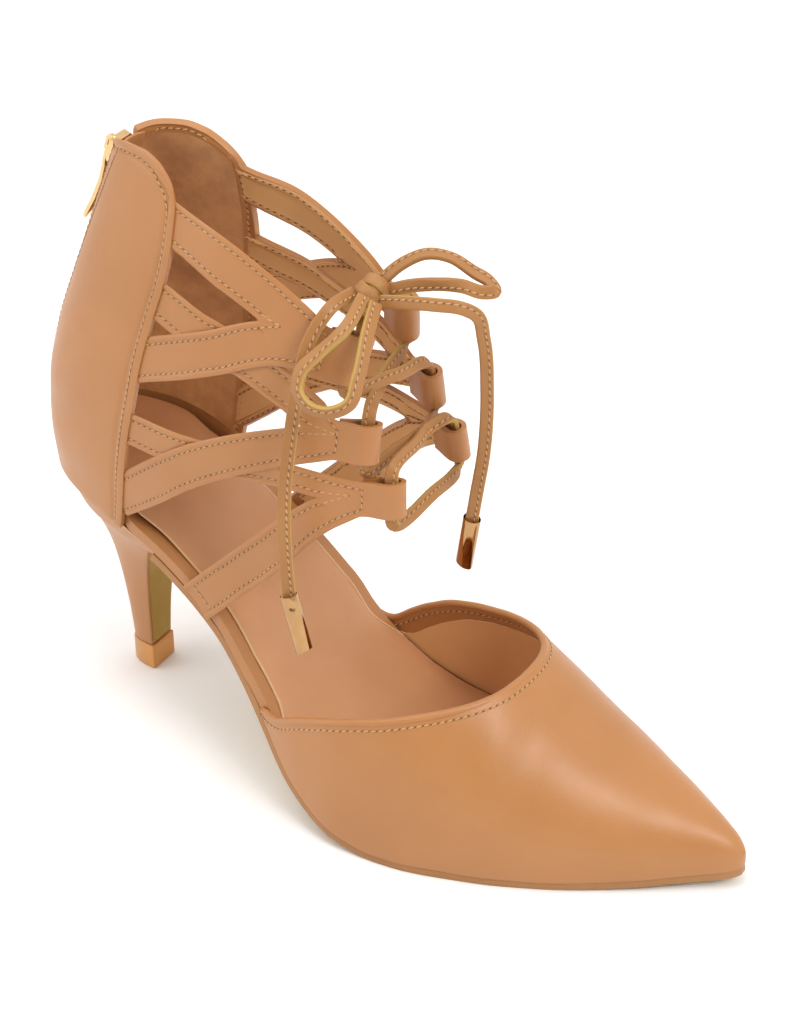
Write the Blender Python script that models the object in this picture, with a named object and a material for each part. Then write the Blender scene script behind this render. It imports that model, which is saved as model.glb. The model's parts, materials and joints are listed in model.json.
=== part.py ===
"""Right pump shoe: pointed vamp, zipped ankle quarter, forked straps with a laced front, covered heel.

Lengths in the tables are millimetres. +X runs to the toe, +Y to the medial side, +Z up.
The floor is z = 0, and x = 0 lies under the ball of the foot.
"""

import math

import bmesh
import bpy
import numpy as np

MM = 0.001
GAP = 0.3
LATERAL, MEDIAL = -1.0, 1.0

# walls and layers
SOLE_THICK = 2.6
SOLE_INSET = 0.5
BOARD_THICK = 3.4
BOARD_BACK = -141.6
BOARD_FRONT = 72.0
VAMP_WALL = 1.7
QUARTER_WALL = 2.0
STRAP_THICK = 1.5
STRAP_BUTT = 0.5
STRAP_SECTIONS = 11

# zip at the back
ZIP_SLOT_HALF = 4.4
ZIP_SLOT_FOOT = 0.18
ZIP_TAPE_THICK = 1.4
SLIDER_FOOT_Z = 171.5
PIN_Z = 176.0
PIN_OUT = 2.05
BRIDGE_HALF = 0.8
# up from the pin, half width, inner face, thickness: slider and pull tab
SLIDER_BODY = [
    (-3.9, 2.4, -1.9, 3.1), (-2.6, 3.0, -1.9, 3.1), (1.6, 3.4, -1.9, 3.1), (4.2, 3.4, -1.9, 3.1),
    (5.2, 2.6, -1.6, 2.4),
]
PULL = [
    (0.55, 2.3, 1.5, 1.1), (-4.4, 2.3, 1.5, 1.1), (-6.5, 1.7, 1.5, 1.2), (-12, 1.5, 1.5, 1.3),
    (-18, 2.2, 1.8, 1.4), (-23, 2.9, 2.6, 1.3), (-25.2, 2.6, 3.2, 1.1), (-26.4, 1.6, 3.6, 0.8),
]
PULL_EYE = [(-0.55, 1.1, 0.5, 3.0), (-3.3, 1.1, 0.5, 3.0)]
# up from the pin, out from the zip: side view of the slider's bridge
SLIDER_BRIDGE = [
    (-2.4, 0.8), (-2.4, 2.9), (-1.6, 3.9), (2.4, 3.9), (3.2, 2.9), (3.2, 0.8), (2.2, 0.8), (2.2, 2.4),
    (1.8, 2.9), (-1.0, 2.9), (-1.4, 2.4), (-1.4, 0.8),
]

# lace
LACE_RADIUS = 1.7
LACE_LEAD = 1.3
LACE_POINTS = 92
LACE_DOWN = (("1", LATERAL), ("2", MEDIAL), ("3", LATERAL))
LACE_UP = (("3", MEDIAL), ("2", LATERAL), ("1", MEDIAL))
LACE_CROSS_OUT = (1.0, 0.0, 0.55)
LACE_BAR_SAG = (2.0, 0.0, -1.0)
LACE_RISE = np.array((-0.5, 6.2, -4.4))
LOOP_BORE = 2.6
LOOP_SKIN = 1.2

# x, tread height: underside of the outsole, flat under the ball
TREAD = [
    (-146, 74.0), (-130, 71.4), (-115, 67.4), (-104, 62.6), (-93, 56.6), (-78, 46.0), (-63, 31.5),
    (-55, 22.6), (-45, 13.5), (-35, 6.8), (-24, 2.3), (-12, 0.0), (30, 0.0), (48, 0.6), (65, 1.9),
    (81, 3.8),
]

# x, lateral edge, medial edge: plan outline at the feather line
OUTLINE = [
    (-145.6, 0.0, 0.0), (-142.4, -11.6, 11.6), (-132, -20.4, 20.4), (-116, -24.8, 24.8),
    (-95, -26.2, 25.6), (-75, -28.4, 25.2), (-58, -33.8, 26.5), (-40, -42.2, 29.5), (-24, -45.8, 32.2),
    (-8, -44.8, 34.0), (15, -38.5, 33.2), (35, -29.6, 29.2), (55, -17.8, 20.6), (70, -7.5, 12.5),
    (74, -4.9, 9.9),
]

# x, inset: insole board, inside the quarter, bare along the waist, then inside the vamp
BOARD_INSET = [
    (-146, 2.8), (-113, 2.8), (-105, 0.9), (-66, 0.7), (-60, 2.4), (0, 2.6), (60, 3.2), (81, 3.6),
]
TOE_X = 80.7
NOSE_FROM = 74.0
NOSE_SIDE = 2.5

# height, back, front, half width, widest at: level sections of the heel and ankle
ANKLE = [
    (45, -143.0, 28, 28.8, -88), (60, -145.0, 18, 27.2, -92), (70, -145.6, 12, 26.4, -96),
    (76, -146.0, 8, 26.6, -98), (90, -146.4, -3, 27.2, -100), (105, -144.8, -12, 26.6, -98),
    (120, -140.8, -20, 25.0, -95), (140, -134.0, -29, 21.5, -90), (160, -127.2, -37, 17.8, -86),
    (173, -122.8, -41, 15.4, -84), (184, -119.2, -45, 12.6, -83), (194, -116.0, -49, 9.8, -82),
]
ANKLE_FULLNESS = 2.4

# x, crest height, crest side: ridge of the toe and instep
CREST = [
    (-62, 108, -3), (-40, 91, -2), (-20, 76, -1), (0, 60.6, 0), (13.4, 50.2, 0.8), (20, 45.0, 1.4),
    (27, 39.8, 1.8), (36, 34.2, 2.4), (48, 28.2, 3.0), (60, 23.0, 3.2), (70, 18.6, 3.0),
    (77, 15.0, 2.7), (80.7, 11.4, 2.5),
]
VAMP_FULLNESS = {LATERAL: 2.2, MEDIAL: 2.05}

# x, lateral height above the feather line, medial height: topline of the vamp
THROAT_X = 13.4
VAMP_BACK = -58.6
TOPLINE = [
    (-58.6, 3.0, 3.0), (-54, 7.4, 3.4), (-50, 12.6, 7.4), (-43, 21.4, 16.6), (-37, 27.6, 24.0),
    (-27.6, 34.6, 33.2), (-16, 40.0, 39.2), (-5, 43.0, 42.2), (3, 45.0, 44.4), (8, 46.2, 45.8),
    (11, 46.9, 46.7), (13.4, 47.6, 47.6),
]

# height, front edge of the quarter
QUARTER_FRONT = [
    (66, -110.5), (73, -109.0), (87, -106.5), (99, -104.5), (111, -102.0), (129, -98.8), (140, -96.2),
    (149, -93.8), (160, -92.0), (172, -91.4), (180, -91.4), (190, -91.4),
]
# share of the way from the zip to the front edge, height: collar of the quarter
QUARTER_TOP = [
    (0, 182.0), (0.35, 184.0), (0.6, 184.4), (0.78, 183.0), (0.9, 180.0), (0.97, 176.4), (1.0, 173.0),
]

# height at the back, back, height at the breast, breast, half width: heel from the lift up
HEEL = [
    (8.9, -127.2, 8.9, -117.9, 5.0), (20, -128.3, 20, -117.0, 5.6), (34, -130.3, 34, -115.6, 7.0),
    (45, -132.6, 44, -113.2, 9.6), (54, -136.0, 51.4, -109.4, 13.6), (61.5, -140.0, 56.4, -104.4, 18.4),
    (67.5, -143.2, 59.4, -99.8, 22.6),
]
HEEL_FULLNESS = 2.45
HEEL_SEAT_FRONT = -96.5
HEEL_SEAT_BACK = -144.8
LIFT = {"back": -127.6, "breast": -117.4, "half": 5.4, "top": 8.6}

# x, z, width, lift off the ankle form: middle line of each strap, from quarter or sole to loop
STRAPS = {
    "A": [(-89.9, 167, 12.4, 0.0), (-77, 163, 13.4, 0.0), (-60, 155, 12.4, 0.0), (-47, 146, 12.0, 0.0)],
    "C": [
        (-98.2, 128, 12.4, 0.2), (-76, 136.6, 12.4, 0.2), (-58, 143.6, 12.4, 0.2), (-46, 144, 12.0, 0.2),
    ],
    "B": [
        (-93.8, 145.4, 11.4, 0.0), (-83, 142, 11.4, -0.4), (-70, 138.4, 11.0, -0.9),
        (-52, 130.6, 10.0, -0.2), (-39, 121.6, 9.0, 0.0),
    ],
    "E": [
        (-106.4, 82, 12.4, 0.2), (-79, 102.6, 12.4, 0.2), (-53, 115.0, 11.0, 0.2), (-38, 119.6, 10.0, 0.2),
    ],
    "D": [
        (-102.8, 105, 10.6, 0.0), (-92, 104.8, 10.6, -0.4), (-75, 105.2, 9.4, -0.9),
        (-50, 106.4, 8.0, -0.2), (-33, 104.8, 8.0, 0.0),
    ],
    "F": [(-82.3, 53.7, 12.0, 0.2), (-59, 78.2, 12.0, 0.2), (-41, 97, 10.0, 0.2), (-32, 103.2, 9.4, 0.2)],
}
# x, z where the tab starts, x, z at its end, width: doubled tab that ends in a lace loop
TABS = {
    "1": [(-50, 144.0, 13.4), (-37.0, 141.8, 13.4)],
    "2": [(-41, 119.6, 10.8), (-31.0, 119.6, 10.8)],
    "3": [(-35, 103.4, 10.0), (-23.0, 104.4, 10.0)],
}
TAB_LIFT = 0.4

# x, y, z: middle line of the lace parts that hang free
KNOT = {"at": (-39.0, 0.0, 155.4), "size": (6.6, 8.0, 6.6)}
BOWS = {
    "lace_bow_lateral": [
        (-38.6, -5.2, 156.2), (-36.2, -19.0, 153.3), (-40.1, -25.0, 148.3), (-42.9, -29.0, 144.3),
        (-42.9, -31.0, 139.8), (-38.7, -32.5, 136.7), (-32.2, -32.0, 136.6), (-27.8, -29.5, 139.2),
        (-27.8, -25.0, 144.9), (-30.4, -16.6, 152.4), (-34.4, -5.8, 155.6),
    ],
    "lace_bow_medial": [
        (-37.7, 3.1, 158.0), (-33.4, 6.0, 162.5), (-27.7, 9.0, 165.6), (-21.1, 10.5, 165.6),
        (-14.4, 10.5, 163.4), (-8.7, 9.5, 162.2), (-6.2, 7.8, 161.2), (-8.5, 6.2, 160.9),
        (-14.9, 5.6, 161.2), (-23.6, 4.4, 159.8), (-31.0, 3.4, 157.4), (-35.0, 2.6, 155.6),
    ],
}
ENDS = {
    "lace_end_lateral": [
        (-42.6, -3.9, 155.6), (-43.0, -14.6, 155.9), (-45.6, -20.6, 148.6), (-46.0, -24.8, 140.7),
        (-46.0, -28.0, 131.6), (-46.1, -31.0, 119.9), (-45.8, -34.0, 108.1), (-44.5, -36.5, 92.2),
        (-42.6, -38.0, 76.8),
    ],
    "lace_end_medial": [
        (-35.2, -2.0, 154.2), (-26.7, -2.0, 156.4), (-18.7, -1.0, 157.6), (-13.1, 2.0, 156.9),
        (-10.1, 5.0, 154.2), (-9.1, 7.5, 146.0), (-8.0, 8.0, 129.8), (-8.6, 8.0, 110.2),
        (-10.5, 8.0, 96.7), (-12.0, 8.0, 86.4),
    ],
}
# which end it tips, outer radius, end of the tip
AGLETS = {
    "aglet_lateral": ("lace_end_lateral", 2.6, (-37.4, -38.6, 60.4)),
    "aglet_medial": ("lace_end_medial", 2.6, (-14.3, 8.0, 70.6)),
}
CORD_POINTS = 26


def curve(rows, column, at):
    """A table's column at each place: a smooth curve through the rows that never overshoots them."""
    rows = np.array(rows, float)
    places, values = rows[:, 0], rows[:, column]
    steps = np.diff(places)
    rises = np.diff(values) / steps
    slopes = np.empty_like(values)
    slopes[0], slopes[-1] = rises[0], rises[-1]
    product = rises[:-1] * rises[1:]
    total = rises[:-1] + rises[1:]
    slopes[1:-1] = np.where(product > 0, 2 * product / np.where(total == 0, 1, total), 0)
    at = np.asarray(at, float)
    i = np.clip(np.searchsorted(places, at) - 1, 0, len(steps) - 1)
    t = np.clip((at - places[i]) / steps[i], 0, 1)
    near = values[i] * (2 * t**3 - 3 * t**2 + 1) + values[i + 1] * (3 * t**2 - 2 * t**3)
    return near + steps[i] * (slopes[i] * (t**3 - 2 * t**2 + t) + slopes[i + 1] * (t**3 - t**2))


def path(rows, count):
    """Points spread evenly along a smooth line through the rows, every column carried along."""
    rows = np.array(rows, float)
    lengths = np.concatenate([[0], np.cumsum(np.linalg.norm(np.diff(rows[:, :3], axis=0), axis=1))])
    slopes = np.gradient(rows, lengths, axis=0)
    at = np.linspace(0, lengths[-1], count)
    i = np.clip(np.searchsorted(lengths, at) - 1, 0, len(rows) - 2)
    step = np.diff(lengths)[i][:, None]
    t = (at[:, None] - lengths[i][:, None]) / step
    near = rows[i] * (2 * t**3 - 3 * t**2 + 1) + rows[i + 1] * (3 * t**2 - 2 * t**3)
    return near + step * (slopes[i] * (t**3 - 2 * t**2 + t) + slopes[i + 1] * (t**3 - t**2))


def tread(x):
    return curve(TREAD, 1, x)


def above_tread(x, depth):
    """Height of a layer that lies depth above the tread, square to it."""
    slope = tread(x + 0.5) - tread(x - 0.5)
    return tread(x) + depth * np.sqrt(1 + slope**2)


def feather(x):
    """Height of the feather line: top of the outsole and of the heel seat."""
    return above_tread(x, SOLE_THICK)


def edge(x, side):
    """Plan outline on one side: the table, and round the nose a curve of the nose's radius."""
    column = 1 if side < 0 else 2
    rim = curve(OUTLINE, column, np.minimum(x, NOSE_FROM))
    start = curve(OUTLINE, column, NOSE_FROM) - NOSE_SIDE
    share = np.clip((TOE_X - x) / (TOE_X - NOSE_FROM), 0, 1)
    return np.where(x > NOSE_FROM, NOSE_SIDE + start * np.sqrt(share), rim)


def half_width(x, z):
    """Half width of the ankle form at x on the level z."""
    back, front, wide, mid = (curve(ANKLE, column, z) for column in (1, 2, 3, 4))
    share = np.where(x < mid, (mid - x) / (mid - back), (x - mid) / (front - mid))
    share = np.clip(share, 0, 0.999)
    return wide * (1 - share**ANKLE_FULLNESS) ** (1 / ANKLE_FULLNESS)


def back_of(y, z):
    """x of the back of the ankle form, y to the side of its middle, on the level z."""
    back, _, wide, mid = (curve(ANKLE, column, z) for column in (1, 2, 3, 4))
    return mid - (mid - back) * (1 - (abs(y) / wide) ** ANKLE_FULLNESS) ** (1 / ANKLE_FULLNESS)


def on_ankle(x, z, side, lift):
    """Point on the ankle form at x and z, moved out along its normal by lift."""
    y = half_width(x, z)
    along = (half_width(x + 0.2, z) - half_width(x - 0.2, z)) / 0.4
    up = (half_width(x, z + 0.2) - half_width(x, z - 0.2)) / 0.4
    normal = np.array([-along, side, -up]) / math.sqrt(along**2 + 1 + up**2)
    return np.array([x, side * y, z]) + lift * normal


def shade(made, look):
    """Own Principled material for one object: look is a colour, a roughness and how metallic it is."""
    colour, roughness, metallic = look
    material = bpy.data.materials.new(made.name)
    material.use_nodes = True
    shader = material.node_tree.nodes["Principled BSDF"]
    shader.inputs["Base Color"].default_value = (*colour, 1)
    shader.inputs["Roughness"].default_value = roughness
    shader.inputs["Metallic"].default_value = metallic
    made.data.materials.append(material)


def add(name, verts, faces, look, helper=False):
    """Mesh object from points in millimetres, its faces turned outwards."""
    mesh = bpy.data.meshes.new(name)
    mesh.from_pydata([tuple(np.array(v) * MM) for v in verts], [], [tuple(f) for f in faces])
    work = bmesh.new()
    work.from_mesh(mesh)
    bmesh.ops.remove_doubles(work, verts=work.verts, dist=1e-7)
    bmesh.ops.recalc_face_normals(work, faces=work.faces)
    work.to_mesh(mesh)
    work.free()
    made = bpy.data.objects.new(name, mesh)
    bpy.context.scene.collection.objects.link(made)
    shade(made, look)
    if helper:
        made.hide_render = True
        made.display_type = "WIRE"
    return made


def thicken(made, wall):
    """Real wall, laid inside the form."""
    solid = made.modifiers.new("wall", "SOLIDIFY")
    solid.thickness = wall * MM
    solid.offset = -1
    solid.use_even_offset = True
    return made


def join(made, others):
    for other in others:
        union = made.modifiers.new("joined " + other.name, "BOOLEAN")
        union.operation = "UNION"
        union.solver = "EXACT"
        union.object = other
    return made


def rings(sections, closed_ends=True):
    """Skin of closed sections with equal counts, the first and last closed by a face."""
    count = len(sections[0])
    verts = [p for section in sections for p in section]
    faces = []
    for i in range(len(sections) - 1):
        for j in range(count):
            k = (j + 1) % count
            faces.append((i * count + j, i * count + k, (i + 1) * count + k, (i + 1) * count + j))
    if closed_ends:
        faces.append(tuple(range(count))[::-1])
        faces.append(tuple((len(sections) - 1) * count + j for j in range(count)))
    return verts, faces


def tube(points, radius, sides=10):
    """Round tube along points, with flat ends."""
    points = np.array(points, float)
    tangents = np.gradient(points, axis=0)
    tangents /= np.linalg.norm(tangents, axis=1)[:, None]
    across = np.cross(tangents[0], (0.3, 0.2, 0.9))
    sections = []
    for point, tangent in zip(points, tangents):
        across = across - tangent * np.dot(across, tangent)
        across /= np.linalg.norm(across)
        other = np.cross(tangent, across)
        turns = [2 * math.pi * k / sides for k in range(sides)]
        sections.append([point + radius * (math.cos(a) * across + math.sin(a) * other) for a in turns])
    return rings(sections)


def sole_layer(name, stations, inset_of, low_of, high_of, look, across=6):
    """Flat layer between two heights, its outline the plan outline drawn in by inset_of(x)."""
    sections = []
    for x in stations:
        lateral = edge(x, LATERAL) + inset_of(x)
        medial = edge(x, MEDIAL) - inset_of(x)
        ys = np.linspace(lateral, medial, across)
        sections.append([(x, y, low_of(x)) for y in ys] + [(x, y, high_of(x)) for y in ys[::-1]])
    return add(name, *rings(sections), look)


def build_sole(tan, olive):
    nose = TOE_X - 4.0 * (1 - np.cos(np.linspace(0, math.pi / 2, 5)))
    flat = np.linspace(nose[-1] - 4.5, HEEL_SEAT_FRONT + GAP, 30)
    stations = np.concatenate([nose[1:], flat])
    sole_layer("outsole", stations, lambda x: SOLE_INSET, tread, feather, olive)

    low = SOLE_THICK + 1.3 * GAP
    round_back = BOARD_BACK + 7.0 * (1 - np.cos(np.linspace(0, math.pi / 2, 5)))
    stations = np.concatenate([round_back, np.linspace(-130, BOARD_FRONT, 30)])
    sole_layer(
        "insole",
        stations,
        lambda x: curve(BOARD_INSET, 1, x),
        lambda x: above_tread(x, low),
        lambda x: above_tread(x, low + BOARD_THICK),
        tan,
    )


def d_section(back, breast, half, height_of, count=18):
    """D shaped section: round back, flat breast."""
    points = []
    for k in range(count + 1):
        turn = math.pi * k / count
        s, c = math.sin(turn), math.cos(turn)
        power = 2 / HEEL_FULLNESS
        x = breast - (breast - back) * s**power
        y = -half * math.copysign(abs(c) ** power, c)
        points.append((x, y, height_of(x)))
    for k in range(1, 4):
        y = half - 2 * half * k / 4
        points.append((breast, y, height_of(breast)))
    return points


def build_heel(tan, amber):
    sections = []
    for z_back, back, z_breast, breast, half in HEEL:
        slope = (z_back - z_breast) / (back - breast)
        sections.append(d_section(back, breast, half, lambda x: z_breast + slope * (x - breast)))
    seat_half = float(edge(HEEL_SEAT_FRONT, MEDIAL)) - SOLE_INSET
    sections.append(d_section(HEEL_SEAT_BACK, HEEL_SEAT_FRONT, seat_half, lambda x: float(feather(x))))
    add("heel", *rings(sections), tan)
    lift = []
    for z in (0.0, LIFT["top"]):
        lift.append(d_section(LIFT["back"], LIFT["breast"], LIFT["half"], lambda x: z))
    add("top_lift", *rings(lift), amber)


def topline_share(x, side):
    """How far up its section the vamp reaches at x: 1 is the crest."""
    low, high = feather(x), curve(CREST, 1, x)
    height = curve(TOPLINE, 1 if side < 0 else 2, x)
    sine = np.clip(height / (high - low), 0.004, 1)
    return float(np.arcsin(sine ** (VAMP_FULLNESS[side] / 2)) / (math.pi / 2))


def vamp_point(x, share, side):
    low, high = float(feather(x)) + GAP, float(curve(CREST, 1, x))
    middle, rim = float(curve(CREST, 2, x)), float(edge(x, side))
    turn = share * math.pi / 2
    power = 2 / VAMP_FULLNESS[side]
    y = middle + (rim - middle) * max(math.cos(turn), 0) ** power
    return (x, y, low + (high - low) * math.sin(turn) ** power)


def build_vamp(tan, rows=8):
    behind = THROAT_X - (THROAT_X - VAMP_BACK) * np.sin(np.linspace(math.pi / 2, 0, 19)[:-1]) ** 2
    ahead = TOE_X - (TOE_X - THROAT_X) * (1 - np.sin(np.linspace(0, math.pi / 2, 14)))
    verts, faces, index = [], [], {}
    stations = np.concatenate([behind, ahead])
    open_count = len(behind)

    def place(i, r, side):
        shared = (i >= open_count and r == rows) or i == len(stations) - 1
        key = (i, r, 0 if shared else side)
        if key not in index:
            x = float(stations[i])
            top = topline_share(x, side) if i < open_count else 1.0
            index[key] = len(verts)
            verts.append(vamp_point(x, top * r / rows, side))
        return index[key]

    for side in (LATERAL, MEDIAL):
        for i in range(len(stations) - 1):
            for r in range(rows):
                near = [place(i, r, side), place(i + 1, r, side)]
                far = [place(i + 1, r + 1, side), place(i, r + 1, side)]
                faces.append(near + far if side > 0 else (near + far)[::-1])
    return thicken(add("vamp", verts, faces, tan), VAMP_WALL)


def quarter_point(share, rise, side):
    """Point of the quarter: share runs from the zip to the front edge, rise from the sole to the collar."""
    top = float(curve(QUARTER_TOP, 1, share))
    z = 70.0
    for _ in range(8):
        front = float(curve(QUARTER_FRONT, 1, z))
        mid = float(curve(ANKLE, 4, z))
        back = float(curve(ANKLE, 1, z))
        start = math.asin((ZIP_SLOT_HALF / float(curve(ANKLE, 3, z))) ** (ANKLE_FULLNESS / 2))
        stop = math.pi / 2
        if front < mid:
            stop = math.acos(((mid - front) / (mid - back)) ** (ANKLE_FULLNESS / 2))
        turn = start + (stop - start) * share
        x = mid - (mid - back) * max(math.cos(turn), 0) ** (2 / ANKLE_FULLNESS)
        if front > mid:
            x = x + (front - mid) * share**3
        bottom = float(feather(x)) + GAP
        z = bottom + (top - bottom) * rise
    return (x, side * float(half_width(x, z)), z)


def build_quarter(tan, columns=13):
    rises = np.concatenate([np.linspace(0, ZIP_SLOT_FOOT, 4), np.linspace(ZIP_SLOT_FOOT, 1, 13)[1:]])
    shares = [-s for s in np.linspace(1, 0, columns)] + list(np.linspace(0, 1, columns))
    verts, faces = [], []
    for number, share in enumerate(shares):
        side = LATERAL if number < columns else MEDIAL
        verts += [quarter_point(abs(share), rise, side) for rise in rises]
    count = len(rises)
    for i in range(len(shares) - 1):
        for j in range(count - 1):
            over_slot = i == columns - 1 and j >= 3
            if not over_slot:
                low, high = i * count + j, (i + 1) * count + j
                faces.append((low, high, high + 1, low + 1))
    return thicken(add("quarter", verts, faces, tan), QUARTER_WALL)


def build_zip_tape(cloth):
    reach = ZIP_SLOT_HALF - 0.95
    foot = quarter_point(0, ZIP_SLOT_FOOT, MEDIAL)[2] + 0.6
    levels = np.linspace(foot, SLIDER_FOOT_Z - GAP, 12)
    sides = (-reach, 0.0, reach)
    verts = [(float(back_of(y, z)) + 0.5, y, z) for z in levels for y in sides]
    faces = []
    for i in range(len(levels) - 1):
        for j in range(2):
            faces.append((i * 3 + j, i * 3 + j + 1, (i + 1) * 3 + j + 1, (i + 1) * 3 + j))
    return thicken(add("zip_tape", verts, faces, cloth), ZIP_TAPE_THICK)


def zip_place(up, across, out):
    """Point beside the zip: up along the back from the pull's pin, across it, and out from it."""
    low, high = float(back_of(0, PIN_Z - 12)), float(back_of(0, PIN_Z))
    lean = math.atan2(high - low, 12)
    base = np.array((high, 0.0, PIN_Z))
    along = np.array((math.sin(lean), 0.0, math.cos(lean)))
    away = np.array((-math.cos(lean), 0.0, math.sin(lean)))
    return base + up * along + (0.0, across, 0.0) + out * away


def zip_prism(name, outline, half, gold, helper=False):
    """Outline of (up, out) points drawn out to both sides of the zip."""
    sections = [[zip_place(up, across, out) for up, out in outline] for across in (-half, half)]
    return add(name, *rings(sections), gold, helper)


def zip_block(name, rows, gold, helper=False):
    """Bar along the zip from rows of up, half width, out at its inner face, thickness."""
    sections = []
    for up, half, inner, thick in rows:
        corners = ((-half, inner), (half, inner), (half, inner + thick), (-half, inner + thick))
        sections.append([zip_place(up, across, out) for across, out in corners])
    return add(name, *rings(sections), gold, helper)


def build_slider(gold):
    body = zip_block("zip_slider", SLIDER_BODY, gold)
    bridge = zip_prism("cut_bridge", SLIDER_BRIDGE, BRIDGE_HALF, gold, helper=True)
    join(body, [bridge])


def build_pull(gold):
    pull = zip_block("zip_pull", PULL, gold)
    eye = zip_block("cut_eye", PULL_EYE, gold, helper=True)
    cut = pull.modifiers.new("eye", "BOOLEAN")
    cut.operation = "DIFFERENCE"
    cut.solver = "EXACT"
    cut.object = eye


def mirrored(verts, side):
    """Points worked out for the lateral side, carried to the side asked for."""
    return [np.array(v) * (1, -side, 1) for v in verts]


def strap_strip(rows, side, count):
    """Closed strip along a middle line on the ankle form."""
    line = path([(x, z, 0.0, width, lift) for x, z, width, lift in rows], count)
    tangents = np.gradient(line[:, :2], axis=0)
    tangents /= np.linalg.norm(tangents, axis=1)[:, None]
    sections = []
    for (x, z, _, width, lift), (tx, tz) in zip(line, tangents):
        low, high = [], []
        for o in np.linspace(-width / 2, width / 2, 4):
            level = z + tx * o
            place = max(x - tz * o, float(curve(QUARTER_FRONT, 1, level)) + STRAP_BUTT)
            low.append(on_ankle(place, level, LATERAL, lift))
            high.append(on_ankle(place, level, LATERAL, lift + STRAP_THICK))
        sections.append(low + high[::-1])
    verts, faces = rings(sections)
    return mirrored(verts, side), faces


def loop_axis(name, side):
    """Two ends of the middle line of a lace loop."""
    (x0, z0, _), (x1, z1, width) = TABS[name]
    along = np.array([x1 - x0, z1 - z0]) / math.hypot(x1 - x0, z1 - z0)
    ends = []
    for o in (-width / 2, width / 2):
        ends.append(on_ankle(x1 - along[1] * o, z1 + along[0] * o, side, TAB_LIFT + STRAP_THICK / 2))
    low, high = ends
    return low, high


def loop_ring(name, side, sides=12):
    """Leather folded round the lace: a short pipe."""
    low, high = loop_axis(name, LATERAL)
    along = (high - low) / np.linalg.norm(high - low)
    out = np.cross(along, (0, 0, 1.0))
    out /= np.linalg.norm(out)
    other = np.cross(along, out)
    turns = [2 * math.pi * (k + 0.37) / sides for k in range(sides)]
    loops = []
    for end in (low, high):
        for radius in (LOOP_BORE, LOOP_BORE + LOOP_SKIN):
            loops.append([end + radius * (math.cos(a) * out + math.sin(a) * other) for a in turns])
    inner_low, outer_low, inner_high, outer_high = loops
    verts, faces = rings([inner_low, outer_low, outer_high, inner_high], closed_ends=False)
    last = 3 * sides
    for j in range(sides):
        k = (j + 1) % sides
        faces.append((last + j, last + k, k, j))
    return mirrored(verts, side), faces


def tab_rows(name):
    """Middle line of a tab, stopped inside the wall of its loop."""
    (x0, z0, w0), (x1, z1, w1) = TABS[name]
    keep = 1 - (LOOP_BORE + LOOP_SKIN * 0.4) / math.hypot(x1 - x0, z1 - z0)
    rows = []
    for share in (0.0, 0.5, 1.0):
        rows.append((
            x0 + (x1 - x0) * keep * share, z0 + (z1 - z0) * keep * share, w0 + (w1 - w0) * share, TAB_LIFT,
        ))
    return rows


def build_straps(tan):
    for label, side in (("lateral", LATERAL), ("medial", MEDIAL)):
        base, pieces = None, []
        for name, rows in STRAPS.items():
            strip = strap_strip(rows, side, STRAP_SECTIONS)
            if base is None:
                base = add(f"straps_{label}", *strip, tan)
            else:
                pieces.append(add(f"strip_{label}_{name}", *strip, tan, helper=True))
        for name in TABS:
            strip = strap_strip(tab_rows(name), side, 5)
            pieces.append(add(f"tab_{label}_{name}", *strip, tan, helper=True))
            pieces.append(add(f"loop_{label}_{name}", *loop_ring(name, side), tan, helper=True))
        join(base, pieces)


def through_loop(name, side):
    """Points of the lace through one loop, from below it to above it."""
    low, high = loop_axis(name, side)
    lead = (high - low) / np.linalg.norm(high - low) * LACE_LEAD
    return [low - lead, low, (low + high) / 2, high, high + lead]


def build_lace(tan):
    """Lace from the knot down the front, across the lowest loops and up again, crossing itself."""
    down = [through_loop(name, side)[::-1] for name, side in LACE_DOWN]
    up = [through_loop(name, side) for name, side in LACE_UP]
    over = np.array(LACE_CROSS_OUT) * (LACE_RADIUS + 0.25)
    under = -0.9 * over
    knot = np.array(KNOT["at"])
    route = [knot + LACE_RISE * np.array((1, LATERAL, 1))]
    for loop, following in zip(down, down[1:] + up[:1]):
        reach = over if following is not up[0] else np.array(LACE_BAR_SAG)
        route += loop + [(loop[-1] + following[0]) / 2 + reach]
    for loop, following in zip(up, up[1:]):
        route += loop + [(loop[-1] + following[0]) / 2 + under]
    route += up[-1] + [knot + LACE_RISE]
    add("lace_crossings", *tube(path(route, LACE_POINTS), LACE_RADIUS, 8), tan)


def build_knot(tan, levels=9, around=14):
    middle, half = np.array(KNOT["at"]), np.array(KNOT["size"]) / 2
    sections = []
    for k in range(1, levels):
        tilt = math.pi * k / levels
        turns = [2 * math.pi * j / around for j in range(around)]
        wide, low = math.sin(tilt), -math.cos(tilt)
        ring = [(wide * math.cos(a), wide * math.sin(a), low) for a in turns]
        sections.append([middle + half * np.array(point) for point in ring])
    add("lace_knot", *rings(sections), tan)


def cord(name, points, look):
    """Round cord on a line of points, its ends closed."""
    line = bpy.data.curves.new(name, "CURVE")
    line.dimensions = "3D"
    line.bevel_depth = LACE_RADIUS * MM
    line.bevel_resolution = 2
    line.use_fill_caps = True
    spline = line.splines.new("POLY")
    spline.points.add(len(points) - 1)
    for slot, point in zip(spline.points, points):
        slot.co = (*(np.array(point) * MM), 1)
    made = bpy.data.objects.new(name, line)
    bpy.context.scene.collection.objects.link(made)
    shade(made, look)


def build_cords(tan, gold):
    for name, rows in {**BOWS, **ENDS}.items():
        cord(name, path(rows, CORD_POINTS), tan)
    for name, (end, radius, tip) in AGLETS.items():
        last = np.array(ENDS[end][-1], float)
        along = np.array(tip) - last
        along /= np.linalg.norm(along)
        points = [last + along * GAP * 2, (last + np.array(tip)) / 2, np.array(tip)]
        add(name, *tube(points, radius, 16), gold)


for old in list(bpy.data.objects):
    bpy.data.objects.remove(old, do_unlink=True)

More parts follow.
